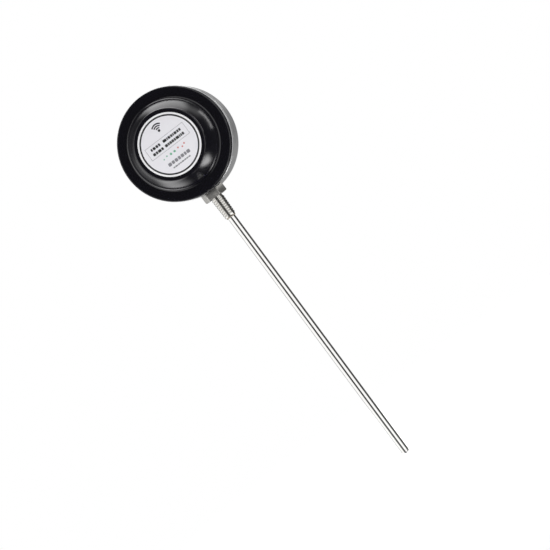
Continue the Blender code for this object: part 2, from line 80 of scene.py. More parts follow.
HEAD = Vector((0, 0, middle_of("case").z))
HEAD_UP = HEAD.z / MM
HEAD_PLACE = Matrix.Translation(HEAD) @ Matrix.Rotation(math.pi / 2, 4, "X") @ Matrix.Scale(MM, 4)
STEM_PLACE = Matrix.Scale(MM, 4)


def head_box(node):
    """Lowest corner, highest corner and middle of a node in the head's axes, in millimetres."""
    low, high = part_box(node)
    low, high = (low - HEAD) / MM, (high - HEAD) / MM
    low, high = Vector((low.x, low.z, -high.y)), Vector((high.x, high.z, -low.y))
    return low, high, (low + high) / 2


# Node sheets: sums on values become nodes


class Value:
    """What one node gives out. Sums written with it add their own Math nodes."""

    def __init__(self, sheet, socket):
        self.sheet = sheet
        self.socket = socket

    def math(self, operation, *others):
        terms = dict(enumerate((self, *others)))
        return self.sheet.node("ShaderNodeMath", {"operation": operation}, terms)

    def __add__(self, other):
        return self.math("ADD", other)

    def __sub__(self, other):
        return self.math("SUBTRACT", other)

    def __rsub__(self, other):
        return self.sheet.node("ShaderNodeMath", {"operation": "SUBTRACT"}, {0: other, 1: self})

    def __mul__(self, other):
        return self.math("MULTIPLY", other)

    def __truediv__(self, other):
        return self.math("DIVIDE", other)

    __radd__ = __add__
    __rmul__ = __mul__


def colour(red, green, blue):
    return (red, green, blue, 1.0)


class Sheet:
    """A node tree that is filled in one call for each node."""

    def __init__(self, tree):
        self.tree = tree

    def node(self, kind, settings=None, sockets=None, output=0):
        made = self.tree.nodes.new(kind)
        for name, value in (settings or {}).items():
            setattr(made, name, value)
        for name, value in (sockets or {}).items():
            if isinstance(value, Value):
                self.tree.links.new(value.socket, made.inputs[name])
            else:
                made.inputs[name].default_value = value
        return Value(self, made.outputs[output])

    def parts(self, vector):
        """The three numbers of a vector."""
        first = self.node("ShaderNodeSeparateXYZ", None, {0: vector})
        outputs = first.socket.node.outputs
        return first, Value(self, outputs[1]), Value(self, outputs[2])

    def vector(self, x, y, z):
        return self.node("ShaderNodeCombineXYZ", None, {0: x, 1: y, 2: z})

    def ease(self, value, start, end):
        """0 at start and 1 at end, eased at both."""
        limits = {"Value": value, "From Min": start, "From Max": end}
        return self.node("ShaderNodeMapRange", {"interpolation_type": "SMOOTHSTEP"}, limits)

    def window(self, value, low, high, soft):
        """1 between low and high, with soft sides."""
        return self.ease(value, low - soft, low + soft) - self.ease(value, high - soft, high + soft)

    def mixed(self, factor, first, second):
        """A colour between two, each given as red, green and blue or as a value."""
        first, second = (colour(*tone) if isinstance(tone, tuple) else tone for tone in (first, second))
        settings = {"data_type": "RGBA", "clamp_factor": True}
        return self.node("ShaderNodeMix", settings, {0: factor, 6: first, 7: second}, 2)


class Finish(Sheet):
    """One surface finish: even values sit on the shader itself, and what varies is linked to it."""

    def __init__(self, name, even, at=HEAD):
        self.material = bpy.data.materials.new(name)
        self.material.use_nodes = True
        super().__init__(self.material.node_tree)
        self.at = at
        self.shader = self.tree.nodes["Principled BSDF"]
        for label, value in even.items():
            self.shader.inputs[label].default_value = value
        self.material.diffuse_color = even.get("Base Color", colour(0.5, 0.5, 0.5))

    def spot(self, stretch=(1, 1, 1)):
        """The place on the piece in millimetres from the finish's middle, stretched for streaks."""
        scale = [s / MM for s in stretch]
        shift = [-m * s for m, s in zip(self.at, scale)]
        place = self.node("ShaderNodeTexCoord", None, None, 3)
        return self.node("ShaderNodeMapping", None, {"Vector": place, "Location": shift, "Scale": scale})

    def noise(self, scale, detail=3.0, rough=0.5, over=(1, 1, 1)):
        """Clouds over a stretched spot, or over a place that is worked out already."""
        spot = over if isinstance(over, Value) else self.spot(over)
        values = {"Vector": spot, "Scale": scale, "Detail": detail, "Roughness": rough}
        return self.node("ShaderNodeTexNoise", None, values)

    def patches(self, low, high, *clouds):
        """Only the tops of the clouds, as patches with eased edges."""
        return self.ease(self.noise(*clouds), low, high)

    def cells(self, scale):
        return self.node("ShaderNodeTexVoronoi", None, {"Vector": self.spot(), "Scale": scale})

    def done(self, shade, gloss, height, strength, depth, **more):
        """Link the colour, the roughness, a bump of that depth in millimetres and what else varies."""
        values = {"Height": height, "Strength": strength, "Distance": depth * MM}
        bump = self.node("ShaderNodeBump", None, values)
        varying = {"Base Color": shade, "Roughness": gloss, "Normal": bump, **more}
        for label, value in varying.items():
            if isinstance(value, Value):
                self.tree.links.new(value.socket, self.shader.inputs[label.replace("_", " ")])
        return self.material


def radius_of(x, y):
    return (x * x + y * y).math("SQRT")


def shaded(tone, share, lift=0.0):
    """A tone made darker or paler."""
    return tuple(c * share + lift for c in tone)


def moulded(name, tone, rough, grain=0.35, depth=0.012):
    """Moulded plastic: slow mottling, a fine moulded grain, and scuffs that dull the gloss."""
    paint = Finish(name, {"Base Color": colour(*tone), "IOR": 1.5})
    slow = paint.noise(0.11)
    fine = paint.noise(1 / grain, 2)
    scuff = paint.patches(0.58, 0.72, 0.9, 5, 0.65, (0.25, 1.6, 0.5))
    shade = paint.mixed(slow, shaded(tone, 0.88), shaded(tone, 1.12, 0.0015))
    gloss = rough + (fine - 0.5) * 0.10 + scuff * 0.12 + (slow - 0.5) * 0.06
    return paint.done(shade, gloss, fine, 0.25, depth)


def metal(name, tone, rough, stretch, fine=3.0, tarnish=0.25, at=HEAD):
    """Bare or plated metal with tool marks drawn out along one way, and slight dulling."""
    paint = Finish(name, {"Base Color": colour(*tone), "Metallic": 1.0}, at)
    marks = paint.noise(fine, 4, 0.6, stretch)
    slow = paint.noise(0.16)
    dull = paint.patches(0.52, 0.75, 0.7, 5, 0.6)
    shade = paint.mixed(dull * 0.55 + (marks - 0.5) * 0.5, tone, shaded(tone, 1 - tarnish))
    gloss = rough + (marks - 0.5) * 0.16 + dull * 0.10 + (slow - 0.5) * 0.05
    return paint.done(shade, gloss, marks, 0.3, 0.006)


def gloss_black():
    """The cap: deep black with a polished skin, turned lines left by the mould, and a rubbed rim."""
    paint = Finish("gloss_black", {"Specular IOR Level": 0.0, "Roughness": 0.5, "Coat Roughness": 0.19})
    x, y, z = paint.parts(paint.spot())
    radius = radius_of(x, z)
    slow = paint.noise(0.06)
    peel = paint.noise(0.9, 2)
    rings = paint.noise(1.0, 3, 0.5, paint.vector(x * 0.02, y * 5, radius * 5 + z * 0.01))
    hairs = paint.patches(0.66, 0.74, 1.4, 6, 0.7, (0.5, 0.5, 4.5))
    corner = paint.window(radius, 40.3, 41.2, 0.35) * paint.window(y, -15.6, -13.7, 0.3)
    lip = paint.window(radius, 22.7, 23.4, 0.15) + paint.window(radius, 25.1, 26.0, 0.3)
    rub = (corner + lip * 0.4) * paint.patches(0.45, 0.7, 0.5, 5)
    shade = paint.mixed(slow, (0.0022, 0.0020, 0.0042), (0.0038, 0.0035, 0.0068))
    shade = paint.mixed(rub * 0.5 + hairs * 0.1, shade, (0.055, 0.055, 0.06))
    side = paint.ease(radius, 40.6, 40.95) * paint.ease(y, -14.4, -13.6)
    skin = 0.97 - side * 0.92 - rub * 0.2 - hairs * 0.15 - (slow - 0.5) * 0.1
    return paint.done(shade, None, peel * 0.6 + rings * 0.4, 0.12, 0.02, Coat_Weight=skin)


def label_film():
    """Printed film: white rim, faint lavender field, a fine screen and a few handling marks."""
    paint = Finish("label_film", {"IOR": 1.46, "Coat Weight": 0.2, "Coat Roughness": 0.25})
    x, _, z = paint.parts(paint.spot())
    screen = paint.cells(2.4)
    smear = paint.patches(0.5, 0.8, 0.5, 5, 0.6, (0.3, 1, 1.3))
    field = paint.mixed(paint.noise(0.12, 4), (0.86, 0.85, 0.89), (0.92, 0.91, 0.95))
    shade = paint.mixed(paint.ease(radius_of(x, z), 20.5, 20.7), field, (0.94, 0.94, 0.95))
    shade = paint.mixed(smear * 0.10 + screen * 0.05, shade, (0.62, 0.62, 0.66))
    return paint.done(shade, 0.34 + smear * 0.14 + (screen - 0.4) * 0.08, screen, 0.1, 0.01)


def ink(name, tone):
    """Screen printed ink: a thin film with pin holes and an uneven, slightly dry surface."""
    paint = Finish(name, {"IOR": 1.45})
    thin = paint.patches(0.52, 0.75, 3.0, 4, 0.65)
    grain = paint.noise(7.0, 2)
    shade = paint.mixed(thin * 0.3, tone, shaded(tone, 0.7, 0.22))
    return paint.done(shade, 0.42 + grain * 0.25, grain, 0.15, 0.008)


def turned_steel():
    """The case: fine tool lines round the head's axis, faint polishing swirls and finger marks."""
    paint = Finish("turned_steel", {"Metallic": 1.0})
    x, y, z = paint.parts(paint.spot())
    across = y + radius_of(x, z)
    lines = paint.noise(1.0, 4, 0.6, paint.vector(x * 0.03, z * 0.03, across * 3.2))
    broad = paint.noise(1.0, 2, 0.5, paint.vector(x * 0.01, z * 0.01, across * 0.7))
    prints = paint.patches(0.52, 0.72, 0.09, 5, 0.6)
    nicks = paint.patches(0.68, 0.76, 0.9, 6, 0.7, (2.2, 0.4, 1.1))
    shade = paint.mixed(lines * 0.7 + broad * 0.3, (0.60, 0.60, 0.605), (0.47, 0.47, 0.475))
    shade = paint.mixed(nicks * 0.5, shade, (0.30, 0.30, 0.30))
    gloss = 0.29 + (lines - 0.5) * 0.14 + prints * 0.09 + nicks * 0.1
    return paint.done(shade, gloss, lines, 0.35, 0.008)


THREAD_RADIUS = 4.86
TAPER = 1 / 32


def machined_steel():
    """The fitting: lines round the stem's axis on turned faces; painted shade darkens the thread's rougher
    roots.
    """
    paint = Finish("machined_steel", {"Metallic": 1.0}, ORIGIN)
    x, y, z = paint.parts(paint.spot())
    radius = radius_of(x, y)
    lines = paint.noise(1.0, 4, 0.6, paint.vector(x * 0.06, y * 0.06, (z + radius) * 6))
    milled = paint.noise(1.1, 4, 0.65, (0.25, 0.25, 5))
    stain = paint.patches(0.5, 0.75, 0.35, 5)
    depth = THREAD_RADIUS + z * TAPER - radius
    # root marks the thread's roots, which are rougher and darkened with painted shade
    root = paint.ease(depth, 0.12, 0.4) * paint.window(z, -17.5, -1.0, 0.3)
    shade = paint.mixed(lines * 0.5 + milled * 0.5, (0.66, 0.65, 0.625), (0.50, 0.49, 0.465))
    # darker in stain patches, and in the thread's roots as painted shade
    shade = paint.mixed(root * 0.2 + stain * 0.25, shade, (0.22, 0.205, 0.185))
    flats = paint.ease(z, -0.6, 0.1) * 0.20
    gloss = 0.17 + flats + (lines - 0.5) * 0.12 + stain * 0.1 + root * 0.12
    return paint.done(shade, gloss, lines * 0.6 + milled * 0.4, 0.3, 0.006)


def polished_steel():
    """The tube: bright drawn steel with faint lines along it and a few rubbed bands round it."""
    paint = Finish("polished_steel", {"Metallic": 1.0}, ORIGIN)
    drawn = paint.noise(1.2, 4, 0.6, (5, 5, 0.03))
    rubbed = paint.noise(1.0, 5, 0.65, (0.05, 0.05, 1.4))
    specks = paint.patches(0.66, 0.78, 1.3, 6, 0.7)
    shade = paint.mixed(drawn * 0.5 + rubbed * 0.5, (0.80, 0.795, 0.785), (0.68, 0.675, 0.66))
    shade = paint.mixed(specks * 0.4, shade, (0.45, 0.44, 0.43))
    gloss = 0.08 + (rubbed - 0.5) * 0.06 + (drawn - 0.5) * 0.04 + specks * 0.12
    return paint.done(shade, gloss, drawn, 0.12, 0.004)


def weld_bead(name, height):
    """Fused steel: straw and blue heat tint in patches over a rough, rippled skin."""
    paint = Finish(name, {"Metallic": 1.0}, (0, 0, height))
    heat = paint.noise(0.8)
    skin = paint.noise(4.0, 5, 0.65)
    tint = paint.mixed(paint.ease(heat, 0.45, 0.62), (0.50, 0.47, 0.42), (0.52, 0.40, 0.24))
    tint = paint.mixed(paint.ease(heat, 0.60, 0.72), tint, (0.22, 0.25, 0.36))
    shade = paint.mixed(skin * 0.4, tint, (0.16, 0.15, 0.14))
    return paint.done(shade, 0.28 + skin * 0.3, skin, 0.4, 0.05)


def rubber(name, tone, at):
    """Rubber or silicone: matt, dusty in places, with a soft bloom and fine pores."""
    paint = Finish(name, {"IOR": 1.42, "Sheen Weight": 0.15, "Sheen Roughness": 0.5}, at)
    bloom = paint.patches(0.48, 0.78, 0.5, 5)
    pores = paint.cells(3.2)
    shade = paint.mixed(bloom * 0.45, tone, shaded(tone, 0.82, 0.05))
    return paint.done(shade, 0.52 + bloom * 0.2 + (pores - 0.4) * 0.1, pores, 0.2, 0.02)


def fired_ceramic():
    paint = Finish("fired_ceramic", {"IOR": 1.6}, ORIGIN)
    cloud = paint.noise(0.5, 4)
    specks = paint.ease(paint.cells(1.8), 0.12, 0.02)
    shade = paint.mixed(cloud, (0.80, 0.76, 0.68), (0.90, 0.87, 0.81))
    shade = paint.mixed(specks * 0.5, shade, (0.42, 0.36, 0.28))
    return paint.done(shade, 0.48 + cloud * 0.22, cloud, 0.3, 0.03)


def cast_resin():
    paint = Finish("cast_resin", {"IOR": 1.55, "Coat Weight": 0.5, "Coat Roughness": 0.1}, ORIGIN)
    swirl = paint.noise(0.9, 5, 0.6)
    bubbles = paint.ease(paint.cells(2.2), 0.16, 0.06)
    shade = paint.mixed(swirl, (0.018, 0.017, 0.020), (0.05, 0.045, 0.042))
    return paint.done(shade, 0.24 + swirl * 0.15, swirl - bubbles * 0.5, 0.3, 0.05)


def solder_mask(name, dark, light):
    """Lacquer over glass laminate: the weave shows faintly through the green."""
    paint = Finish(name, {"IOR": 1.5, "Coat Weight": 0.4, "Coat Roughness": 0.15})
    x, _, z = paint.parts(paint.spot())
    weave = (x * 9).math("SINE") * (z * 9).math("SINE")
    slow = paint.noise(0.25)
    shade = paint.mixed(slow * 0.7 + weave * 0.15 + 0.15, dark, light)
    return paint.done(shade, 0.30 + slow * 0.12 + weave * 0.03, weave, 0.15, 0.008)


def cell_sleeve():
    """Shrink sleeve: blue, with a white band, a thin stripe and a plain dark patch, no wording."""
    even = {"IOR": 1.5, "Coat Weight": 0.5, "Coat Roughness": 0.12}
    paint = Finish("cell_sleeve", even, middle_of("battery"))
    x, _, z = paint.parts(paint.spot())
    slow = paint.noise(0.3, 4)
    crease = paint.noise(0.8, 3, 0.5, (0.15, 2, 2))
    shade = paint.mixed(slow, (0.015, 0.07, 0.30), (0.03, 0.11, 0.40))
    for start, end in ((-13.4, -9.2), (-8.4, -7.9)):
        shade = paint.mixed(paint.window(x, start, end, 0.05), shade, (0.78, 0.78, 0.76))
    patch = paint.window(x, -4, 9, 0.06) * paint.window(z, -2.6, 2.6, 0.06)
    shade = paint.mixed(patch, shade, (0.02, 0.025, 0.05))
    return paint.done(shade, 0.26 + (slow - 0.5) * 0.14, crease, 0.3, 0.05)


def lamp_lens():
    even = {"IOR": 1.5, "Coat Weight": 1.0, "Coat Roughness": 0.03}
    paint = Finish("lamp_lens", even, middle_of("status_led"))
    y = paint.parts(paint.spot())[1]
    cloud = paint.noise(0.9)
    # painted glow: the lens is paler green towards its dome's tip
    shade = paint.mixed(paint.ease(y, 1.5, -1.5), (0.02, 0.22, 0.05), (0.16, 0.62, 0.22))
    shade = paint.mixed(cloud * 0.3, shade, (0.30, 0.75, 0.35))
    return paint.done(shade, 0.10 + cloud * 0.12, cloud, 0.1, 0.02)


# Shapes, in millimetres


def arc(middle, radius, start, end, steps=8):
    """Points round an arc, with angles in degrees."""
    angles = [math.radians(start + (end - start) * i / steps) for i in range(steps + 1)]
    return [(middle[0] + radius * math.cos(a), middle[1] + radius * math.sin(a)) for a in angles]


def rounded(corners, steps=4):
    """A closed outline of (x, y) points and (x, y, radius) corners, which are rounded off."""
    points = []
    for i, corner in enumerate(corners):
        here = Vector(corner[:2])
        if len(corner) == 2:
            points.append(tuple(corner))
            continue
        radius = corner[2]
        back = (Vector(corners[i - 1][:2]) - here).normalized()
        on = (Vector(corners[(i + 1) % len(corners)][:2]) - here).normalized()
        half = back.angle(on) / 2
        middle = here + (back + on).normalized() * (radius / math.sin(half))
        first = here + back * (radius / math.tan(half)) - middle
        last = here + on * (radius / math.tan(half)) - middle
        start = math.atan2(first.y, first.x)
        sweep = (math.atan2(last.y, last.x) - start + math.pi) % (2 * math.pi) - math.pi
        for step in range(steps + 1):
            angle = start + sweep * step / steps
            points.append((middle.x + radius * math.cos(angle), middle.y + radius * math.sin(angle)))
    return points


def rounded_box(x0, y0, x1, y1, edge, steps):
    return rounded([(x0, y0, edge), (x1, y0, edge), (x1, y1, edge), (x0, y1, edge)], steps)


def hexagon(corner, edge, steps):
    """A hexagon with eased corners, with one corner on the first axis."""
    turns = [math.radians(60 * i) for i in range(6)]
    return rounded([(corner * math.cos(a), corner * math.sin(a), edge) for a in turns], steps)


def circle_beside(outline, radius, height):
    """A level circle with a point at the bearing of each point of the outline."""
    turns = [math.atan2(y, x) for x, y in outline]
    return [(radius * math.cos(a), radius * math.sin(a), height) for a in turns]


def loft(rings, closed=True):
    """Faces between rings of points; a ring of one point closes a pole."""
    shape = bmesh.new()
    made = [[shape.verts.new(point) for point in ring] for ring in rings]
    pairs = list(zip(made, made[1:]))
    if closed:
        pairs.append((made[-1], made[0]))
    for low, high in pairs:
        count = max(len(low), len(high))
        for i in range(count if count > 1 else 0):
            j = (i + 1) % count
            corners = [low[i % len(low)], low[j % len(low)], high[j % len(high)], high[i % len(high)]]
            shape.faces.new(list(dict.fromkeys(corners)))
    return shape


def turned(outline, segments=ROUND):
    """A solid of revolution about the third axis from a closed (radius, height) outline."""
    outline = rounded(outline)
    angles = [2 * math.pi * i / segments for i in range(segments)]
    rings = []
    for radius, height in outline:
        spots = angles if radius > 1e-6 else angles[:1]
        rings.append([(radius * math.cos(a), radius * math.sin(a), height) for a in spots])
    return loft(rings)


def prism(outline, low, high):
    """A flat outline drawn out along the third axis."""
    outline = rounded(outline)
    shape = bmesh.new()
    floor = [shape.verts.new((x, y, low)) for x, y in outline]
    roof = [shape.verts.new((x, y, high)) for x, y in outline]
    shape.faces.new(floor)
    shape.faces.new(roof)
    for i, j in zip(range(len(outline)), [*range(1, len(outline)), 0]):
        shape.faces.new((floor[i], floor[j], roof[j], roof[i]))
    return shape


def block(low, high, edge=0.0, steps=2):
    """A box between two corners, with rounded edges."""
    shape = bmesh.new()
    size = Vector(high) - Vector(low)
    place = Matrix.Translation((Vector(high) + Vector(low)) / 2) @ Matrix.Diagonal((*size, 1))
    bmesh.ops.create_cube(shape, size=1, matrix=place)
    if edge:
        edges = list(shape.edges)
        bmesh.ops.bevel(shape, geom=edges, offset=edge, segments=steps, profile=0.5, affect="EDGES")
    return shape


def inner_block(low, high, inset, bottom, top, edge=0.0, steps=2):
    """A block that stays inside a box's sides, between two heights of its own."""
    inside = (high.x - inset, high.y - inset, top)
    return block((low.x + inset, low.y + inset, bottom), inside, edge, steps)


def placed(shape, offset=(0, 0, 0), turn=0.0, axis="Z"):
    """A shape turned about one axis, in degrees, and then moved."""
    shape.transform(Matrix.Translation(offset) @ Matrix.Rotation(math.radians(turn), 4, axis))
    return shape


def peg(radius, low, high, segments, x=0, up=0):
    """An upright cylinder."""
    return placed(turned([(0, low), (radius, low), (radius, high), (0, high)], segments), (x, up, 0))


def washer(inner, outer, low, high, segments, x=0, up=0):
    """A flat ring."""
    outline = [(inner, low), (outer, low), (outer, high), (inner, high)]
    return placed(turned(outline, segments), (x, up, 0))


def together(shapes):
    whole = bmesh.new()
    for shape in shapes:
        spare = bpy.data.meshes.new("spare")
        shape.to_mesh(spare)
        shape.free()
        whole.from_mesh(spare)
        bpy.data.meshes.remove(spare)
    return whole


def holder_of(name, shape=None, place=None):
    """An object whose mesh is that shape, its faces pointing out, moved to its place."""
    mesh = bpy.data.meshes.new(name)
    if shape:
        bmesh.ops.recalc_face_normals(shape, faces=shape.faces)
        shape.transform(place or Matrix())
        shape.to_mesh(mesh)
        shape.free()
    holder = bpy.data.objects.new(name, mesh)
    bpy.context.scene.collection.objects.link(holder)
    return holder


def worked(holder):
    """The object's mesh with its modifiers worked in, as a shape; the object is thrown away."""
    bpy.context.view_layer.update()
    depsgraph = bpy.context.evaluated_depsgraph_get()
    result = bpy.data.meshes.new_from_object(holder.evaluated_get(depsgraph))
    holder.modifiers.clear()
    shape = bmesh.new()
    shape.from_mesh(result)
    bpy.data.meshes.remove(result)
    bpy.data.objects.remove(holder)
    return shape


def carved(shape, cutter, edge=0.0):
    """The shape less the cutter, with its sharp edges eased afterwards."""
    kept, tool = holder_of("part", shape), holder_of("part", cutter)
    step = kept.modifiers.new("cut", "BOOLEAN")
    step.object = tool
    step.operation = "DIFFERENCE"
    step.solver = "EXACT"
    if edge:
        ease = kept.modifiers.new("ease", "BEVEL")
        ease.width = edge
        ease.segments = 2
        ease.angle_limit = math.radians(40)
    done = worked(kept)
    bpy.data.objects.remove(tool)
    return done


def route(stops, steps=8):
    """Points on a smooth curve through the stops (Catmull-Rom)."""
    stops = [Vector(stop) for stop in stops]
    ends = [stops[0] * 2 - stops[1]] + stops + [stops[-1] * 2 - stops[-2]]
    points = []
    for i in range(1, len(ends) - 2):
        before, start, end, after = ends[i - 1:i + 3]
        for step in range(steps):
            t = step / steps
            bend = 2 * before - 5 * start + 4 * end - after
            twist = 3 * start - before - 3 * end + after
            points.append(0.5 * (2 * start + (end - before) * t + bend * t ** 2 + twist * t ** 3))
    return points + [stops[-1]]


def way_at(points, i):
    """The way a line of points runs at one of them."""
    return (points[min(i + 1, len(points) - 1)] - points[max(i - 1, 0)]).normalized()


def drawn(points, radius, sides):
    """A round wire along points, closed at both ends."""
    rings = []
    side = Vector((1, 0, 0))
    turns = [2 * math.pi * k / sides for k in range(sides)]
    for i, point in enumerate(points):
        along = way_at(points, i)
        side = (side - along * side.dot(along)).normalized()
        other = along.cross(side)
        rings.append([point + (side * math.cos(a) + other * math.sin(a)) * radius for a in turns])
    return loft([[points[0]], *rings, [points[-1]]], False)


def strip(points, width, low, high):
    """A flat printed or etched line along points, with square ends."""
    left, right = [], []
    points = [Vector(p) for p in points]
    for i, point in enumerate(points):
        along = way_at(points, i)
        across = Vector((-along.y, along.x)) * (width / 2)
        if 0 < i < len(points) - 1:
            into = (point - points[i - 1]).normalized()
            across /= max(0.5, abs(across.normalized().dot(Vector((-into.y, into.x)))))
        left.append(tuple(point + across))
        right.append(tuple(point - across))
    return prism(left + right[::-1], low, high)


def finished(name, shape, finish, body="housing", place=HEAD_PLACE, crease=32):
    """Make a shape the finished piece of that name: smooth, coloured, and riding on its body.

    It takes the place of the CAD piece that has the same name, if there is one.
    """
    piece = holder_of(name, shape, place)
    piece.data.shade_smooth()
    piece.data.set_sharp_from_angle(angle=math.radians(crease))
    piece.data.materials.clear()
    piece.data.materials.append(finish)
    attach(piece, body)
    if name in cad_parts:
        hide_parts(name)


# Recipes: geometry node trees for what repeats or follows a path


class Recipe(Sheet):
    """A geometry node tree whose sizes are named inputs. It runs once and leaves a plain shape."""

    def __init__(self, name, **sizes):
        super().__init__(bpy.data.node_groups.new(name, "GeometryNodeTree"))
        self.name = name
        panel = self.tree.interface
        for label, kind in {"Start": "Geometry", "Finish": "Material", **sizes}.items():
            label = label.replace("_", " ")
            panel.new_socket(name=label, in_out="INPUT", socket_type="NodeSocket" + kind)
        panel.new_socket(name="Result", in_out="OUTPUT", socket_type="NodeSocketGeometry")
        inlet = self.tree.nodes.new("NodeGroupInput")
        self.finish = Value(self, inlet.outputs["Finish"])
        self.sizes = [Value(self, inlet.outputs[label.replace("_", " ")]) for label in sizes]

    def add(self, kind, settings=None, **sockets):
        """One geometry node, with its sockets by name."""
        sockets = {label.replace("_", " "): value for label, value in sockets.items()}
        return self.node("GeometryNode" + kind, settings, sockets)

    def lift(self, height):
        return self.vector(0.0, 0.0, height)

    def turn(self, angle, lean=0.0):
        """A turn about the third axis, after a lean about the second."""
        return self.node("FunctionNodeEulerToRotation", None, {0: self.vector(0.0, lean, angle)})

    def ring(self, count, radius, lean=0.0):
        """Points round the third axis, and the turn that faces each of them outwards."""
        angle = self.add("InputIndex") * (2 * math.pi) / count
        return self.add("MeshCircle", Vertices=count, Radius=radius), self.turn(angle, lean)

    def copies(self, points, instance, **more):
        return self.add("InstanceOnPoints", Points=points, Instance=instance, **more)

    def end(self, result):
        """Real geometry in the piece's own finish, out of the tree."""
        real = self.add("RealizeInstances", Geometry=result)
        named = self.add("SetMaterial", Geometry=real, Material=self.finish)
        out = self.tree.nodes.new("NodeGroupOutput")
        self.tree.links.new(named.socket, out.inputs[0])
        return self

    def run(self, finish, **sizes):
        holder = holder_of(self.name)
        step = holder.modifiers.new(self.name, "NODES")
        step.node_group = self.tree
        wanted = {label.replace("_", " "): value for label, value in sizes.items()}
        wanted["Finish"] = finish
        for item in self.tree.interface.items_tree:
            if item.in_out == "INPUT" and item.name in wanted:
                step[item.identifier] = wanted.pop(item.name)
        if wanted:
            raise ValueError(f"{self.name} has no input {sorted(wanted)}")
        return worked(holder)


def helix_recipe(name, round_wire):
    """A wire or a thread ridge wound about the third axis, tapering away at both ends."""
    section = ("Wire",) if round_wire else ("Root", "Crest", "Depth", "Lean")
    recipe = Recipe(name, Turns="Float", Steps="Int", Radius="Float", End_Radius="Float", Length="Float",
                    Lift="Float", Turn="Float", Run_Out="Float", **dict.fromkeys(section, "Float"))
    turns, steps, radius, end_radius, length, lift, turn, run_out, *section = recipe.sizes
    spiral = recipe.add("CurveSpiral", Resolution=steps, Rotations=turns, Start_Radius=radius,
                        End_Radius=end_radius, Height=length, Reverse=True)
    upright = recipe.add("SetCurveNormal", {"mode": "Z_UP"}, Curve=spiral)
    along = recipe.add("SplineParameter")
    from_end = along.math("MINIMUM", 1 - along)
    thick = (from_end / run_out).math("MINIMUM", 1.0).math("MAXIMUM", 0.02)
    sized = recipe.add("SetCurveRadius", Curve=upright, Radius=thick)
    if round_wire:
        wire = section[0]
        profile = recipe.add("CurvePrimitiveCircle", {"mode": "RADIUS"}, Resolution=12, Radius=wire)
    else:
        root, crest, depth, lean = section
        flat = recipe.add("CurvePrimitiveQuadrilateral", {"mode": "TRAPEZOID"}, Height=depth,
                          Bottom_Width=root, Top_Width=crest, Offset=0.0)
        profile = recipe.add("Transform", Geometry=flat, Rotation=recipe.turn(lean))
    wound = recipe.add("CurveToMesh", Curve=sized, Profile_Curve=profile, Fill_Caps=True)
    lift, turn = recipe.lift(lift), recipe.turn(turn)
    return recipe.end(recipe.add("Transform", Geometry=wound, Translation=lift, Rotation=turn))


def block_ring_recipe():
    """Blocks set round the third axis, each turned to face it."""
    recipe = Recipe("ring_of_blocks", Count="Int", Radius="Float", Height="Float", Block="Vector")
    count, radius, height, size = recipe.sizes
    ring, turn = recipe.ring(count, radius)
    raised = recipe.add("Transform", Geometry=ring, Translation=recipe.lift(height))
    return recipe.end(recipe.copies(raised, recipe.add("MeshCube", Size=size), Rotation=turn))


def weld_recipe():
    """Overlapping ripples of weld metal laid round the third axis; Saddle lifts them at the sides."""
    recipe = Recipe("weld_ripples", Count="Int", Radius="Float", Height="Float", Ripple="Vector",
                    Saddle="Float", Lean="Float", Seed="Int")
    count, radius, height, ripple, saddle, lean, seed = recipe.sizes
    ring, turn = recipe.ring(count, radius, lean)
    x = recipe.parts(recipe.add("InputPosition"))[0]
    raised = recipe.add("SetPosition", Geometry=ring, Offset=recipe.lift(x * x * saddle + height))
    ball = recipe.add("MeshUVSphere", Segments=12, Rings=8, Radius=1.0)
    limits = {2: 0.86, 3: 1.0, "Seed": seed}
    uneven = recipe.node("FunctionNodeRandomValue", {"data_type": "FLOAT"}, limits, 1)
    size = recipe.node("ShaderNodeVectorMath", {"operation": "SCALE"}, {0: ripple, "Scale": uneven})
    return recipe.end(recipe.copies(raised, ball, Rotation=turn, Scale=size))


def grid_recipe():
    """Upright pegs on a grid, for rows of holes and for plated holes on the board."""
    recipe = Recipe("grid_of_pegs", Across="Int", Up="Int", Wide="Float", Tall="Float", Peg="Float",
                    Depth="Float", Stray="Float", Seed="Int")
    across, up, wide, tall, radius, depth, stray, seed = recipe.sizes
    grid = recipe.add("MeshGrid", Size_X=wide, Size_Y=tall, Vertices_X=across, Vertices_Y=up)
    low, high = recipe.vector(0 - stray, 0 - stray, 0.0), recipe.vector(stray, stray, 0.0)
    drift = {0: low, 1: high, "Seed": seed}
    random = recipe.node("FunctionNodeRandomValue", {"data_type": "FLOAT_VECTOR"}, drift)
    moved = recipe.add("SetPosition", Geometry=grid, Offset=random)
    upright = recipe.add("MeshCylinder", Vertices=12, Radius=radius, Depth=depth)
    return recipe.end(recipe.copies(moved, upright))


PIN_THICKNESS = 0.15


def pin_recipe():
    """A row of bent pins along the first axis: shoulder, leg and foot."""
    recipe = Recipe("row_of_pins", Count="Int", Pitch="Float", Pin="Float", Reach="Float", Drop="Float")
    count, pitch, pin, reach, drop = recipe.sizes
    half, vector = reach * 0.5, recipe.vector
    line = recipe.add("MeshLine", {"mode": "OFFSET"}, Count=count, Offset=vector(pitch, 0.0, 0.0),
                      Start_Location=vector((count - 1) * pitch * -0.5, 0.0, 0.0))
    blocks = [(vector(pin, half, PIN_THICKNESS), vector(0.0, half * 0.5, 0.0)),
              (vector(pin, PIN_THICKNESS, drop + PIN_THICKNESS), vector(0.0, half, drop * -0.5)),
              (vector(pin, half, PIN_THICKNESS), vector(0.0, half * 1.5, drop * -1.0))]
    join = recipe.tree.nodes.new("GeometryNodeJoinGeometry")
    for size, offset in blocks:
        moved = recipe.add("Transform", Geometry=recipe.add("MeshCube", Size=size), Translation=offset)
        recipe.tree.links.new(moved.socket, join.inputs[0])
    return recipe.end(recipe.copies(line, Value(recipe, join.outputs[0])))


# Finishes that several pieces share, and the recipes

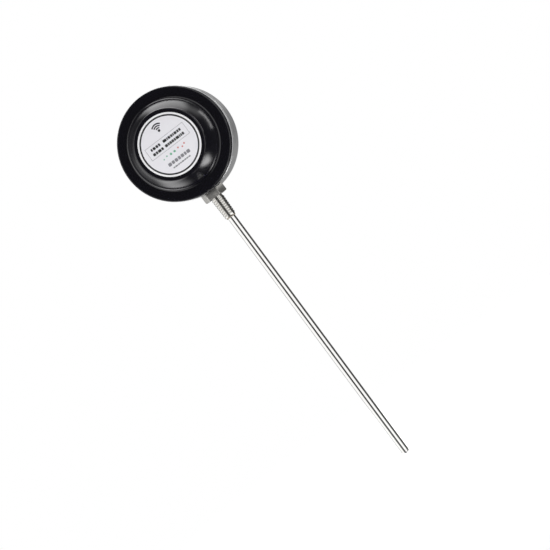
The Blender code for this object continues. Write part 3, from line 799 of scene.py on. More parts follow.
BLACK = gloss_black()
CASE_STEEL = turned_steel()
FITTING_STEEL = machined_steel()
TUBE_STEEL = polished_steel()
NICKEL = metal("nickel_plate", (0.66, 0.64, 0.59), 0.24, (1.2, 1.2, 1.2), 2.5, 0.2)
TIN = metal("tinned_pads", (0.70, 0.70, 0.69), 0.32, (1, 1, 1), 3.5)
GOLD = metal("gold_flash", (0.82, 0.60, 0.26), 0.25, (1, 1, 1), 3.0, 0.2)
BRASS = metal("turned_brass", (0.72, 0.53, 0.24), 0.22, (0.08, 5, 0.08), 1.2, 0.3)
COPPER = metal("copper_wire", (0.78, 0.42, 0.26), 0.24, (2, 2, 2), 2.0, 0.35)
CHIP = moulded("chip_body", (0.018, 0.018, 0.020), 0.5, 0.12, 0.015)
MASK = solder_mask("solder_mask", (0.006, 0.075, 0.028), (0.012, 0.13, 0.05))
TRACK = solder_mask("covered_tracks", (0.02, 0.17, 0.06), (0.035, 0.24, 0.09))
PRINT = ink("white_print", (0.80, 0.80, 0.78))

OUTWARD = -math.pi / 2
INWARD = math.pi / 2
RIDGE = helix_recipe("thread_ridge", False)
COIL = helix_recipe("wound_wire", True)
RING = block_ring_recipe()
RIPPLES = weld_recipe()
PEGS = grid_recipe()
PINS = pin_recipe()


# Cap and label

LEAD = 2.0
COLLAR_WALL = 29.95
SPIGOT_CORE = 29.0
RIDGE_DEPTH = 0.75
FLAT_FRONT = 31.6
BAND_START, BAND_RUN, BAND_HOLLOW = Vector((25.6, 31.3)), Vector((6.3, -11.2)), 0.45


def cap_thread(finish, body_radius, inward, lift, turns):
    """The coarse right-handed thread between cap and ring, on either of them."""
    reach = (RIDGE_DEPTH + 0.1) / 2
    radius = body_radius - RIDGE_DEPTH + reach if inward else body_radius + RIDGE_DEPTH - reach
    return RIDGE.run(finish, Turns=turns, Steps=96, Radius=radius, End_Radius=radius,
                     Length=LEAD * turns, Lift=lift, Turn=0.0, Run_Out=0.06, Root=0.95, Crest=0.4,
                     Depth=RIDGE_DEPTH + 0.1, Lean=INWARD if inward else OUTWARD)


def make_cap():
    """One moulding: recessed front, hollowed band, step, rim, cored pocket with ribs, threaded bore."""
    outline = [(0, FLAT_FRONT), (22.75, FLAT_FRONT), (22.9, 31.75), (22.9, 32.1), (22.98, 32.18)]
    outline += arc((24.7, 31.3), 0.9, 90, 25)
    side = Vector((-BAND_RUN.y, BAND_RUN.x)).normalized() * (4 * BAND_HOLLOW)
    steps = [i / 28 for i in range(29)]
    outline += [tuple(BAND_START + BAND_RUN * t + side * t * (1 - t)) for t in steps]
    outline += arc((31.95, 19.55), 0.45, 28, 0, 4)
    outline += arc((34.0, 16.8), 1.6, 180, 270, 10)
    outline += arc((39.9, 14.1), 1.1, 90, 0, 10)
    outline += [(41, 8.7, 0.35), (38.4, 8.7, 0.15), (38.4, 12.8, 0.5), (34.8, 12.8, 0.5)]
    outline += [(34.8, 8.7, 0.15), (33.3, 8.7, 0.1), (33.3, 10.7, 0.25), (30.9, 10.7, 0.25)]
    outline += [(30.9, 8.7), (30.3, 8.7), (COLLAR_WALL, 9.05), (COLLAR_WALL, 17.9)]
    outline += arc((29.35, 17.9), 0.6, 0, 60, 4)
    outline += arc((23.2, 28.4), 1.0, 30, 90, 5)
    outline += [(3.2, 29.4), (3.0, 29.2), (0, 29.2)]
    thread = cap_thread(BLACK, COLLAR_WALL, True, 11.0, 2.9)
    ribs = RING.run(BLACK, Count=24, Radius=36.6, Height=11.2, Block=(3.8, 1.1, 3.4))
    marks = RING.run(BLACK, Count=6, Radius=19.0, Height=29.4, Block=(2.6, 2.6, 0.24))
    shape = together([turned(outline, FINE), thread, ribs, marks])
    finished("cap", shape, BLACK, "screw_cap")


def bars(widths, height, up, gap, low, high, start=None):
    """A row of plain rounded blocks, where a label has a line of wording."""
    total = sum(widths) + gap * (len(widths) - 1)
    x = -total / 2 if start is None else start
    shapes = []
    for width in widths:
        edge = min(height, width) * 0.28
        shapes.append(prism(rounded_box(x, up, x + width, up + height, edge, 3), low, high))
        x += width + gap
    return shapes


LABEL_TOP = 32.24
SIGNAL_MIDDLE = (0, 12.1)
FRAME_UP = 2.5
BLACK_ROWS = [([1.3, 2.0, 1.7, 1.4], 3.2, 0.5, -13.1),
              ([2.9, 0.9, 1.6, 1.5, 0.9, 1.9, 1.4, 1.4], 3.2, 0.4, -2.6),
              ([2.0, 1.5, 2.5, 1.6], -0.4, 0.4, -13.6),
              ([2.1, 1.2, 1.5, 1.6, 1.3, 2.4, 0.9, 1.0, 1.5], -0.4, 0.35, -3.1)]
GREEN_DOTS = [(-9.3, -6.2, 0.5), (-6.3, -5.4, 0.55), (-3.0, -5.8, 0.85), (0.2, -5.8, 0.85)]
RED_DOTS = [(3.6, -5.2, 0.62), (6.6, -6.4, 0.62), (8.9, -5.2, 0.62)]


def make_label():
    """The disc and its print: ring, signal mark, thin frame and plain blocks in place of wording."""
    disc = turned([(0, 31.85), (22.5, 31.85, 0.05), (22.5, LABEL_TOP, 0.08), (0, LABEL_TOP)], FINE)
    finished("label", disc, label_film(), "screw_cap")
    low, high = LABEL_TOP - 0.02, LABEL_TOP + 0.03
    black = [washer(20.05, 21.2, low, high, FINE)]
    for inner, outer in ((1.55, 2.4), (3.05, 3.95), (4.55, 5.5)):
        fan = arc(SIGNAL_MIDDLE, outer, 46, 134, 16) + arc(SIGNAL_MIDDLE, inner, 134, 46, 16)
        black.append(prism(fan, low, high))
    black.append(prism(arc(SIGNAL_MIDDLE, 0.95, 0, 345, 23), low, high))
    for widths, up, gap, start in BLACK_ROWS:
        black += bars(widths, 2.0, up, gap, low, high, start)
    outside, inside = ([(-x, FRAME_UP - y), (x, FRAME_UP - y), (x, FRAME_UP + y), (-x, FRAME_UP + y)]
                       for x, y in ((16.5, 4.65), (16.3, 4.45)))
    edges = ((outside, low), (outside, high), (inside, high), (inside, low))
    grey = [loft([[(x, y, height) for x, y in line] for line, height in edges])]
    grey += bars([2.6, 2.1, 2.3, 1.9, 2.4, 1.6, 2.6], 2.4, -12.6, 0.5, low, high)
    grey += bars([1.2, 2.0, 1.4, 1.1, 1.8, 1.5, 1.3, 1.6], 1.0, -15.3, 0.4, low, high)
    green, red = ([prism(arc((x, up), size, 0, 340, 17), low, high) for x, up, size in dots]
                  for dots in (GREEN_DOTS, RED_DOTS))
    for word, film, shapes, tone in (("label_", "black_ink", black, (0.018, 0.018, 0.02)),
                                       ("label_grey_", "grey_ink", grey, (0.24, 0.24, 0.26)),
                                       ("label_green_", "green_ink", green, (0.16, 0.44, 0.28)),
                                       ("label_red_", "red_ink", red, (0.62, 0.20, 0.18))):
        finished(word + "print", together(shapes), ink(film, tone), body="screw_cap")


def make_seal():
    ring = turned(arc((32.1, 9.55), 0.85, 0, 345, 23), FINE)
    black_rubber = rubber("seal_rubber", (0.012, 0.012, 0.013), HEAD)
    finished("cap_seal", ring, black_rubber, "seal_carrier")


# Case and fitting

CASE_BACK = -22.8
NECK = 5.5
NECK_HOLE = 5.8


def make_case():
    """Steel cup: front plate, rolled lip, turned line, rounded back with a shallow turned recess."""
    outline = [(27.3, 7.0, 0.1), (27.3, 8.4, 0.25)]
    outline += arc((40.9, 7.8), 0.6, 90, 0)
    outline += [(41.5, 6.75), (41.42, 6.6), (41.1, 6.42), (41.1, 5.88), (41.42, 5.7), (41.5, 5.55)]
    outline += [(41.5, forward) for forward in (2, -4, -10, -16)]
    outline += arc((38.9, -20.2), 2.6, 0, -90, 14)
    outline += [(31.0, CASE_BACK), (30.8, -22.62), (30.2, -22.58), (12.0, -22.58), (11.8, CASE_BACK)]
    outline += [(0, CASE_BACK), (0, -21.3)]
    outline += arc((38.6, -19.9), 1.4, -90, 0)
    outline += [(40.0, 7.0)]
    neck_hole = peg(NECK_HOLE, 0, 20, ROUND)
    neck_hole.transform(HEAD_PLACE.inverted() @ STEM_PLACE)
    finished("case", carved(turned(outline, FINE), neck_hole), CASE_STEEL, crease=24)


def make_spigot_ring():
    """Turned ring with the male half of the cap's thread."""
    outline = [(25.4, 5.8, 0.2), (27.0, 5.8, 0.3), (27.0, 8.7), (29.4, 8.7, 0.2), (29.4, 9.4, 0.15)]
    outline += [(SPIGOT_CORE, 9.4, 0.1), (SPIGOT_CORE, 17.5, 0.15), (28.3, 18.2, 0.15)]
    outline += [(26.0, 18.2, 0.15), (25.4, 17.6, 0.15)]
    thread = cap_thread(BRASS, SPIGOT_CORE, False, 10.0, 3.3)
    finished("spigot_ring", together([turned(outline, FINE), thread]), BRASS)


ACROSS_FLATS = 16
BORE = 3.3
THREAD_PITCH = 1.814
THREAD_RUN = 15.3
ROOT_DEPTH, CREST_DEPTH = 0.37, 0.19


def make_fitting():
    """Hexagon with eased edges shaped to the case above it, relief, tapered thread and neck."""
    outer = []
    points = hexagon(ACROSS_FLATS / math.sqrt(3), 0.22, 5)
    for start, end in zip(points, points[1:] + points[:1]):
        run = Vector(end) - Vector(start)
        steps = max(1, round(run.length / 0.7))
        outer += [tuple(Vector(start) + run * k / steps) for k in range(steps)]

    def cope(x, _=0):
        """How high the hexagon's top lies, where it is hollowed to sit on the round case."""
        return HEAD_UP - math.sqrt(41.8 ** 2 - x * x)

    def chamfer(x, y):
        return max(0.0, (math.hypot(x, y) - 8.55) * math.tan(math.radians(30)))

    def ring(scale, height, lift=0.0):
        return [(x * scale, y * scale, height(x * scale, y * scale) + lift) for x, y in outer]

    def circle(radius, height):
        return circle_beside(outer, radius, height)

    rings = [circle(NECK, 11.0), [(x, y, cope(x)) for x, y, _ in circle(NECK, 0)]]
    rings += [ring(0.97, cope), ring(0.992, cope, -0.03), ring(1, cope, -0.2)]
    rings += [ring(1, chamfer, 0.22), ring(0.992, chamfer, 0.05), ring(0.975, chamfer)]
    under = ((7.6, 0.0), (5.25, 0.0), (5.2, 0.05), (5.2, 0.4), (4.2, 0.4), (4.2, -1.0))
    rings += [circle(radius, height) for radius, height in (*under, (BORE, -1.0), (BORE, 11.0))]
    root_top = THREAD_RADIUS - ROOT_DEPTH
    root_end = root_top - 15.8 * TAPER
    outline = [(BORE, -17.0), (root_end - 0.35, -17.0), (root_end, -16.6), (root_top, -1.3), (4.15, -0.9)]
    crest_top = THREAD_RADIUS - CREST_DEPTH
    thread = RIDGE.run(FITTING_STEEL, Turns=THREAD_RUN / THREAD_PITCH, Steps=64,
                       Radius=crest_top - THREAD_RUN * TAPER, End_Radius=crest_top, Length=THREAD_RUN,
                       Lift=-16.55, Turn=2.1, Run_Out=0.05, Root=1.5, Crest=0.85, Depth=0.38, Lean=OUTWARD)
    shape = together([loft(rings), turned([*outline, (BORE, -0.9)]), thread])
    finished("hex_fitting", shape, FITTING_STEEL, place=STEM_PLACE, crease=26)


def make_welds():
    """Rippled beads: one round the neck on the curved wall, one where the tube leaves the thread."""
    finish = weld_bead("neck_weld_steel", 0.009)
    neck = RIPPLES.run(finish, Count=44, Radius=5.95, Height=HEAD_UP - 39.9 + 0.62,
                       Ripple=(0.62, 0.75, 0.62), Saddle=1 / 79.8, Lean=0.5, Seed=3)
    finished("neck_weld", neck, finish, place=STEM_PLACE)
    finish = weld_bead("stem_weld_steel", -0.0175)
    stem = RIPPLES.run(finish, Count=30, Radius=3.32, Height=-17.5, Ripple=(0.42, 0.62, 0.50),
                       Saddle=0.0, Lean=-0.35, Seed=7)
    finished("stem_weld", stem, finish, place=STEM_PLACE)


TUBE_OUTER, TUBE_INNER = 3.0, 2.5
TUBE_END, TUBE_TOP = -226.62, 12.0


def make_stem():
    """The drawn tube and the domed plug that closes it, with a hairline seam between them."""
    corners = [(TUBE_INNER, TUBE_END, 0.05), (TUBE_OUTER, TUBE_END, 0.06), (TUBE_OUTER, TUBE_TOP, 0.12)]
    tube = turned([*corners, (TUBE_INNER, TUBE_TOP, 0.05)], 96)
    dome = [(0, -229.0)] + arc((1.4, -227.4), 1.6, -90, 0, 14)
    dome += [(TUBE_OUTER, -226.72), (2.94, -226.66), (2.2, -226.66), (2.2, -224.6), (0, -224.6)]
    for name, shape in (("stem_tube", tube), ("tip_plug", turned(dome, 96))):
        finished(name, shape, TUBE_STEEL, place=STEM_PLACE)


# Board and what stands on it

SUNK = 0.02
LEAD_XS = (-4.2, 0, 4.2)
TRACK_RUNS = [
    [(-4.2, -14), (-4.2, -11), (-9, -7.8), (-13, -7.8)], [(0, -14), (0, -12.2), (-2.6, -9.5)],
    [(4.2, -14), (4.2, -11.5), (1.6, -9.5)], [(16.5, -9), (18.2, -7.2), (21.6, -7.2), (22.2, -2), (22.2, 4)],
    [(22.2, 4), (21, 9), (17, 13), (11, 18)], [(-17.8, -8), (-20.6, -5), (-21.8, 0), (-21.8, 5), (-18, 12)],
    [(-12, -12.5), (-9, -15.2), (-9, -19)], [(9.5, -12.4), (8.4, -15), (9.2, -20)],
    [(-18, 12), (-14, 18.8), (-10, 20.4), (-7, 20.4)], [(5, 20.6), (6.4, 20.6), (8.2, 18.8)],
    [(16, -13), (18.4, -13.6), (19.2, -9)], [(-17, -12.8), (-18.6, -14.4), (-15.4, -17.4)],
    [(-21, -2.4), (-22.8, -1.4), (-22.8, 4)], [(22.9, 6.2), (21.2, 11), (17.8, 15.4)]]
PADS = [(-2.1, -9.5, 0.9, 2.0), (2.1, -9.5, 0.9, 2.0), (-10.1, 14.0, 2.2, 0.9), (-10.1, 19.6, 2.2, 0.9),
        (20, -10.6, 1.2, 0.9), (20, -6.6, 1.2, 0.9), (8.2, 16.2, 1.6, 1.0), (12.6, -8.4, 0.8, 1.0),
        (15, -8.4, 0.8, 1.0)]
PRINTED_BOXES = [(-2.7, 2.7, -11.2, -7.9), (-12.0, -8.2, 13.3, 20.3), (16.2, 23.0, -0.4, 7.3)]
PRINTED_ROWS = [([0.7, 0.5, 0.8], -6.9, -17.6), ([0.6, 0.9], 21.9, -0.8), ([0.8, 0.5], -14.6, 12.2)]


def make_board():
    """Board with a rounded edge and plain holes, covered tracks, tinned pads, plated holes and white print.
    """
    low, high, _ = head_box("circuit_board")
    back, front = low.z, high.z
    sunk = front - SUNK
    disc = turned([(0, back), (24.5, back, 0.15), (24.5, front, 0.15), (0, front)], 128)
    spots = [head_box(f"board_screw_{n}")[2] for n in range(1, 5)]
    cuts = [block((-7, -27, back - 1), (7, -20.6, front + 1))]
    cuts += [peg(1.3, back - 1, front + 1, 32, spot.x, spot.y) for spot in spots]
    finished("circuit_board", carved(disc, together(cuts)), MASK)
    top = front + 0.035
    tracks = [strip(run, 0.5, sunk, top) for run in TRACK_RUNS]
    finished("board_tracks", together(tracks), TRACK)
    pads = [washer(1.35, 2.5, sunk, top, 32, spot.x, spot.y) for spot in spots]
    joint = [(0, sunk), (0.9, sunk), (0.9, top + 0.25), (0.4, top + 0.5), (0, top + 0.5)]
    pads += [placed(turned(joint, 20), (x, -10.5, 0)) for x in LEAD_XS]
    for x, up, w, h in PADS:
        pads.append(block((x - w / 2, up - h / 2, sunk), (x + w / 2, up + h / 2, top), 0.01, 1))
    for place, sizes in (((19.0, 3.5), dict(Up=4, Wide=4.5, Tall=5.0, Peg=0.28, Stray=0.35, Seed=4)),
                         ((-3.0, -12.2), dict(Up=3, Wide=6.0, Tall=2.4, Peg=0.26, Stray=0.3, Seed=9))):
        pads.append(placed(PEGS.run(TIN, Across=5, Depth=0.05, **sizes), (*place, front + 0.01)))
    finished("board_pads", together(pads), TIN)
    top = front + 0.05
    lines = []
    for x0, x1, up0, up1 in PRINTED_BOXES:
        loop = [(x0, up0), (x1, up0), (x1, up1), (x0, up1), (x0, up0)]
        lines += [strip(pair, 0.16, sunk, top) for pair in zip(loop, loop[1:])]
    for x, up, size in ((20.0, -8.6, 2.0), (8.2, 18.8, 2.9)):
        lines.append(washer(size, size + 0.16, sunk, top, 40, x, up))
    for widths, up, start in PRINTED_ROWS:
        lines += bars(widths, 0.8, up, 0.3, sunk, top, start)
    finished("board_print", together(lines), PRINT)


def make_post(name):
    """Hexagonal pillar on the case back, with a bore for its screw."""
    low, high, mid = head_box(name)
    outline = hexagon(2.38, 0.2, 2)
    sides = ((0.9, low.z), (1, low.z + 0.3), (1, high.z - 0.3), (0.9, high.z))
    rings = [[(a * scale, b * scale, height) for a, b in outline] for scale, height in sides]
    bore = ((1.3, high.z), (1.15, high.z - 0.2), (1.15, high.z - 8))
    rings += [circle_beside(outline, radius, height) for radius, height in bore]
    pillar = loft([[(0, 0, low.z)], *rings, [(0, 0, high.z - 8)]], False)
    finished(name, placed(pillar, (mid.x, mid.y, 0)), NICKEL)


def make_screw(name, turn):
    """Pan-head screw with a cross recess."""
    low, high, mid = head_box(name)
    top = high.z
    head = [(0, low.z), (0.6, low.z), (0.85, low.z + 0.4), (0.85, top - 1.6), (2.05, top - 1.6)]
    head += arc((1.0, top - 1.6), 1.2, 15, 55, 4) + [(1.0, top - 0.05), (0, top)]
    arms = ((0.25, 1.25), (1.25, 0.25))
    cross = together([block((-x, -y, top - 1.0), (x, y, top + 1)) for x, y in arms])
    screw = carved(turned(head, SMALL), placed(cross, turn=turn), 0.05)
    thread = RIDGE.run(NICKEL, Turns=12.0, Steps=20, Radius=0.84, End_Radius=0.84, Length=6.0,
                       Lift=low.z + 0.6, Turn=0.4, Run_Out=0.05, Root=0.42, Crest=0.08, Depth=0.3,
                       Lean=OUTWARD)
    finished(name, placed(together([screw, thread]), (mid.x, mid.y, 0)), NICKEL)


def make_fixings():
    for number in range(1, 5):
        make_post(f"board_post_{number}")
        make_screw(f"board_screw_{number}", 20 + 37 * number)


CELL_SIDES = 96
STRIP = 0.32
RIB_XS = (-10.5, -3.5, 3.5, 10.5)
MARK_OUT, MARK_UP = 17.8, 5.5


def make_battery():
    """Cradle with its ribs and polarity marks, sleeved cell, coil spring and bent contact."""
    low, high, _ = head_box("battery_holder")
    cell_low, cell_high, cell = head_box("battery")
    up, forward = cell.y, cell.z
    end = high.x - 1.6
    bed = peg(8.75, -end, end, CELL_SIDES)
    cuts = [block((-end, up - 8.75, forward - 3), (end, up + 8.75, high.z + 3)),
            block((-14, low.y - 2, 15.5), (14, high.y + 2, high.z + 3)),
            placed(bed, (0, up, forward), 90, "Y"),
            block((18, up - 3.9, 12.4), (21, up + 3.9, high.z + 2))]
    cuts += [block((x - 1.6, up - 1.3, low.z + 0.5), (x + 1.6, up + 1.3, low.z + 3)) for x in (-8, 8)]
    parts = [carved(block(low, high, 0.5, 3), together(cuts), 0.18)]
    for y in (low.y + 0.05, high.y - 0.75):
        parts += [block((x - 0.45, y, low.z + 0.2), (x + 0.45, y + 0.7, 15.3), 0.1) for x in RIB_XS]
    for x, half_x, half_up in ((MARK_OUT, 0.8, 0.2), (MARK_OUT, 0.2, 0.8), (-MARK_OUT, 0.8, 0.2)):
        y = up + MARK_UP
        parts.append(block((x - half_x, y - half_up, high.z - 0.2), (x + half_x, y + half_up, high.z)))
    holder_black = moulded("holder_black", (0.022, 0.022, 0.024), 0.42, 0.25, 0.02)
    finished("battery_holder", together(parts), holder_black)

    def lying(shape, x=0):
        return placed(shape, (x, up, forward), 90, "Y")

    half = (cell_high.x - cell_low.x) / 2
    can = [(0, -half), (8.2, -half, 0.5), (8.2, half - 1.3, 0.5), (7.2, half - 1.25), (6.9, half - 1.55)]
    can += [(6.4, half - 1.55), (6.1, half - 1.3), (3.6, half - 1.25), (3.2, half - 1.2)]
    can += [(3.0, half, 0.3), (0, half)]
    finished("battery", lying(turned(can, CELL_SIDES)), NICKEL)
    wrap = [(8.15, 0.9 - half), (8.22, 0.4 - half), (8.34, 0.35 - half), (8.4, 0.9 - half)]
    wrap += [(8.4, half - 2.0), *arc((7.7, half - 2.0), 0.7, 0, 80, 5)]
    wrap += [(7.0, half - 1.32), (7.0, half - 1.5), (8.15, half - 1.9)]
    finished("battery_sleeve", lying(turned(wrap, CELL_SIDES)), cell_sleeve())
    low, high, _ = head_box("battery_spring")
    coil = COIL.run(NICKEL, Turns=3.2, Steps=40, Radius=3.3, End_Radius=2.15, Length=high.x - low.x - 0.55,
                    Lift=0.27, Turn=0.5, Run_Out=0.004, Wire=0.27)
    plate = block((-3.9, -3.9, -0.28), (3.9, 3.9, 0.0), 0.05, 1)
    finished("battery_spring", lying(together([coil, plate]), low.x), NICKEL)
    low, high, _ = head_box("battery_tab")
    bend = low.x + 0.9
    outer = [(high.x, low.z), (high.x, high.z - 0.9), (high.x - 0.3, high.z - 0.2), (high.x - 0.9, high.z),
             (bend, high.z - 0.5), (low.x + 0.1, forward + 1.5), (low.x, forward),
             (low.x + 0.2, forward - 1.4), (bend, forward - 3.4)]
    shifts = [(-STRIP, 0)] * 2 + [(-STRIP, -0.3), (0, -0.3), (STRIP, -0.3)] + [(STRIP, 0)] * 4
    inner = [(x + dx, z + dz) for (x, z), (dx, dz) in zip(outer, shifts)]
    bent = prism(outer + inner[::-1], -3.5, 3.5)
    bent.transform(Matrix(((1, 0, 0, 0), (0, 0, 1, up), (0, 1, 0, 0), (0, 0, 0, 1))))
    finished("battery_tab", bent, NICKEL)


SHIELD_WALL = 0.2
ANTENNA_RADIUS, ANTENNA_WIRE = 1.72, 0.36


def make_radio():
    """Radio board with plated edge notches, vented can, and a wound antenna with a wire foot."""
    low, high, _ = head_box("radio_module")
    rows = [low.y + 1.2 + 1.1 * k for k in range(7)]
    top = high.z + 0.04
    notches, plating = [], []
    for x0, edge in ((low.x - 0.5, low.x + 0.3), (high.x - 0.35, high.x - 0.3)):
        for up in rows:
            notches.append(block((x0, up - 0.3, low.z - 1), (x0 + 0.85, up + 0.3, high.z + 1)))
            plating.append(block((edge - 0.28, up - 0.42, low.z + SUNK), (edge + 0.28, up - 0.27, top)))
    finished("radio_module", carved(block(low, high, 0.08), together(notches)), MASK)
    finished("radio_edge_pads", together(plating), GOLD)
    low, high, mid = head_box("radio_shield")
    holes = PEGS.run(NICKEL, Across=7, Up=4, Wide=7.2, Tall=3.9, Peg=0.32, Depth=1.2, Stray=0.0, Seed=0)
    can = carved(block(low, high, 0.35, 3), placed(holes, (mid.x, mid.y, high.z)))
    hollow = inner_block(low, high, SHIELD_WALL, low.z - 1, high.z - SHIELD_WALL)
    finished("radio_shield", carved(can, hollow), NICKEL)
    low, high, mid = head_box("antenna")
    wound = COIL.run(COPPER, Turns=8.5, Steps=32, Radius=ANTENNA_RADIUS, End_Radius=ANTENNA_RADIUS,
                     Length=high.z - low.z - 3.2, Lift=low.z + 2.6, Turn=0.0, Run_Out=0.001,
                     Wire=ANTENNA_WIRE)
    stops = [Vector((ANTENNA_RADIUS, y, low.z + rise)) for y, rise in ((0, 0), (0, 1.4), (0.02, 2.6))]
    foot = drawn(stops, ANTENNA_WIRE, 12)
    finished("antenna", placed(together([wound, foot]), (mid.x, mid.y, 0)), COPPER)


def make_chip(name, count, pitch, sides, reach, pin):
    """A chip with a dot by its first pin, and its rows of bent pins."""
    low, high, mid = head_box(name)
    body = inner_block(low, high, reach, low.z + 0.12, high.z - 0.06, 0.1, 1)
    dot = peg(0.35, low.z - SUNK, low.z + 0.3, 20, low.x + reach + 1, high.y - reach - 1)
    finished(name, carved(body, dot), CHIP)
    rows = []
    for side in range(sides):
        row = PINS.run(TIN, Count=count, Pitch=pitch, Pin=pin, Reach=reach, Drop=-0.5)
        row = placed(row, (0, (high.x - low.x) / 2 - reach, 0))
        rows.append(placed(row, (mid.x, mid.y, high.z - 0.58), 360 / sides * side))
    finished(name + "_pins", together(rows), TIN)


def make_chips():
    """Chips and small parts on both faces of the board."""
    make_chip("processor", 12, 0.5, 4, 0.5, 0.24)
    make_chip("regulator", 3, 0.95, 2, 0.35, 0.4)
    low, high, _ = head_box("crystal")
    layers = ((0, low.z, high.z - 0.1), (0.1, low.z, low.z + 0.25), (-0.15, high.z - 0.15, high.z))
    parts = []
    for grown, bottom, top in layers:
        sides = (low.x - grown, low.y - grown, high.x + grown, high.y + grown)
        parts.append(prism(rounded_box(*sides, 1.2 + grown, 6), bottom, top))
    finished("crystal", together(parts), NICKEL)
    low, high, _ = head_box("capacitor")
    body = block((low.x + 0.45, low.y, low.z), (high.x - 0.45, high.y, high.z), 0.1)
    tan = moulded("part_tan", (0.50, 0.30, 0.12), 0.45, 0.15, 0.01)
    finished("capacitor", body, tan)
    ends = [block((x, low.y - 0.03, low.z), (x + 0.5, high.y + 0.03, high.z + 0.03), 0.12)
            for x in (low.x, high.x - 0.5)]
    finished("capacitor_ends", together(ends), TIN)
    low, high, mid = head_box("status_led")
    lens = [(0, low.z), (1.7, low.z, 0.1), (1.7, low.z + 0.5, 0.1), (1.5, low.z + 0.5), (1.5, high.z - 1.5)]
    lens += arc((0, high.z - 1.5), 1.5, 0, 90, 12)[1:-1] + [(0, high.z)]
    finished("status_led", placed(turned(lens, SMALL), (mid.x, mid.y, 0)), lamp_lens())


WELL_UP = -14.3


def make_terminals():
    """Clamp block with funnelled wire mouths, screw wells, side ribs, and slotted screws."""
    low, high, _ = head_box("terminal_block")
    cuts = []
    for x in LEAD_XS:
        well = [(0, 16.0), (1.6, 16.0), (1.6, high.z - 0.5), (1.95, high.z + 1), (0, high.z + 1)]
        cuts.append(placed(turned(well, 40), (x, WELL_UP, 0)))
        mouth = turned([(0, 0), (1.95, 0), (1.1, 2.2), (1.1, 8), (0, 8)], 40)
        cuts.append(placed(mouth, (x, low.y - 0.6, 13.2), -90, "X"))
    for x0, x1 in ((x - 0.25, x + 0.25) for x in (-2.1, 2.1)):
        cuts.append(block((x0, low.y - 1, low.z - 1), (x1, low.y + 0.8, high.z + 1)))
        cuts.append(block((x0, low.y - 1, high.z - 0.7), (x1, high.y + 1, high.z + 1)))
    cuts.append(block((low.x - 1, high.y - 1.6, high.z - 2.4), (high.x + 1, high.y + 1, high.z + 1)))
    body = carved(block(low, high, 0.3), together(cuts), 0.1)
    rib = block((low.x - 0.35, low.y + 1, low.z + 2), (low.x + 0.2, low.y + 2.4, high.z - 3), 0.1)
    green = moulded("terminal_green", (0.022, 0.19, 0.075), 0.38, 0.3, 0.02)
    finished("terminal_block", together([body, rib]), green)
    for number, x in enumerate(LEAD_XS, 1):
        name = f"terminal_screw_{number}"
        low, high, _ = head_box(name)
        top = high.z
        outline = [(0, low.z), (1.05, low.z), (1.25, low.z + 0.2), (1.25, top - 0.2), (1.08, top)]
        slot = placed(block((-2, -0.2, top - 0.65), (2, 0.2, top + 1)), turn=25 + 50 * number)
        screw = carved(turned([*outline, (0, top)], SMALL), slot, 0.04)
        finished(name, placed(screw, (x, WELL_UP, 0)), NICKEL)


def make_pair_switch():
    """Push switch with a steel cover and bent legs; its orange plunger moves."""
    low, high, mid = head_box("pair_switch")
    top = high.z
    well = peg(1.3, top - 1.8, top + 1, 40, mid.x, mid.y)
    base = carved(block(low, (high.x, high.y, top - 0.3), 0.2), well)
    grey = moulded("switch_grey", (0.10, 0.10, 0.11), 0.45, 0.2, 0.015)
    finished("pair_switch", base, grey)
    well = peg(1.9, top - 1, top + 1, 40, mid.x, mid.y)
    parts = [carved(inner_block(low, high, 0.1, top - 0.28, top, 0.06), well)]
    stud = [(0, top - 0.1), (0.35, top - 0.1), (0.3, top + 0.12), (0, top + 0.14)]
    for x in (mid.x - 2.05, mid.x + 2.05):
        parts += [placed(turned(stud, 16), (x, y, 0)) for y in (mid.y - 2.05, mid.y + 2.05)]
    for side in (0, 180):
        row = placed(PINS.run(NICKEL, Count=2, Pitch=3.8, Pin=0.6, Reach=0.9, Drop=1.0), (0, 2.65, 0))
        parts.append(placed(row, (mid.x, mid.y, low.z + 1.1), side))
    finished("pair_switch_cover", together(parts), NICKEL)
    low, high, mid = head_box("pair_button")
    top, under = high.z, high.z - 1.5
    outline = [(0, low.z), (0.85, low.z), (1.0, low.z + 0.15), (1.0, under - 0.15), (1.1, under)]
    outline += [(1.7, under, 0.15), (1.7, top, 0.35), (1.1, top), (0.9, top - 0.12), (0, top - 0.14)]
    plunger = placed(turned(outline, SMALL), (mid.x, mid.y, 0))
    orange = moulded("button_orange", (0.62, 0.16, 0.03), 0.36, 0.2, 0.012)
    finished("pair_button", plunger, orange, "pair_plunger")


def make_power_switch():
    """Slide switch: folded steel shell with a slot, and a ribbed knob that moves."""
    low, high, mid = head_box("power_switch")
    slot = block((mid.x - 2.5, mid.y - 1.1, high.z - 1.2), (mid.x + 2.5, mid.y + 1.1, high.z + 1), 0.1)
    parts = [carved(block(low, high, 0.25, 3), slot, 0.05)]
    for y in (low.y - 0.28, high.y - 0.1):
        for x in (mid.x - 2.4, mid.x + 2.4):
            parts.append(block((x - 0.6, y, low.z), (x + 0.6, y + 0.38, low.z + 1.6), 0.06))
    finished("power_switch", together(parts), NICKEL)
    low, high, _ = head_box("power_slider")
    grooves = [block((x, low.y - 1, high.z - 0.25), (x + 0.22, high.y + 1, high.z + 1))
               for x in (low.x + 0.45, low.x + 0.99, low.x + 1.53)]
    knob = carved(block(low, high, 0.15), together(grooves), 0.03)
    finished("power_slider", knob, CHIP, "power_knob")


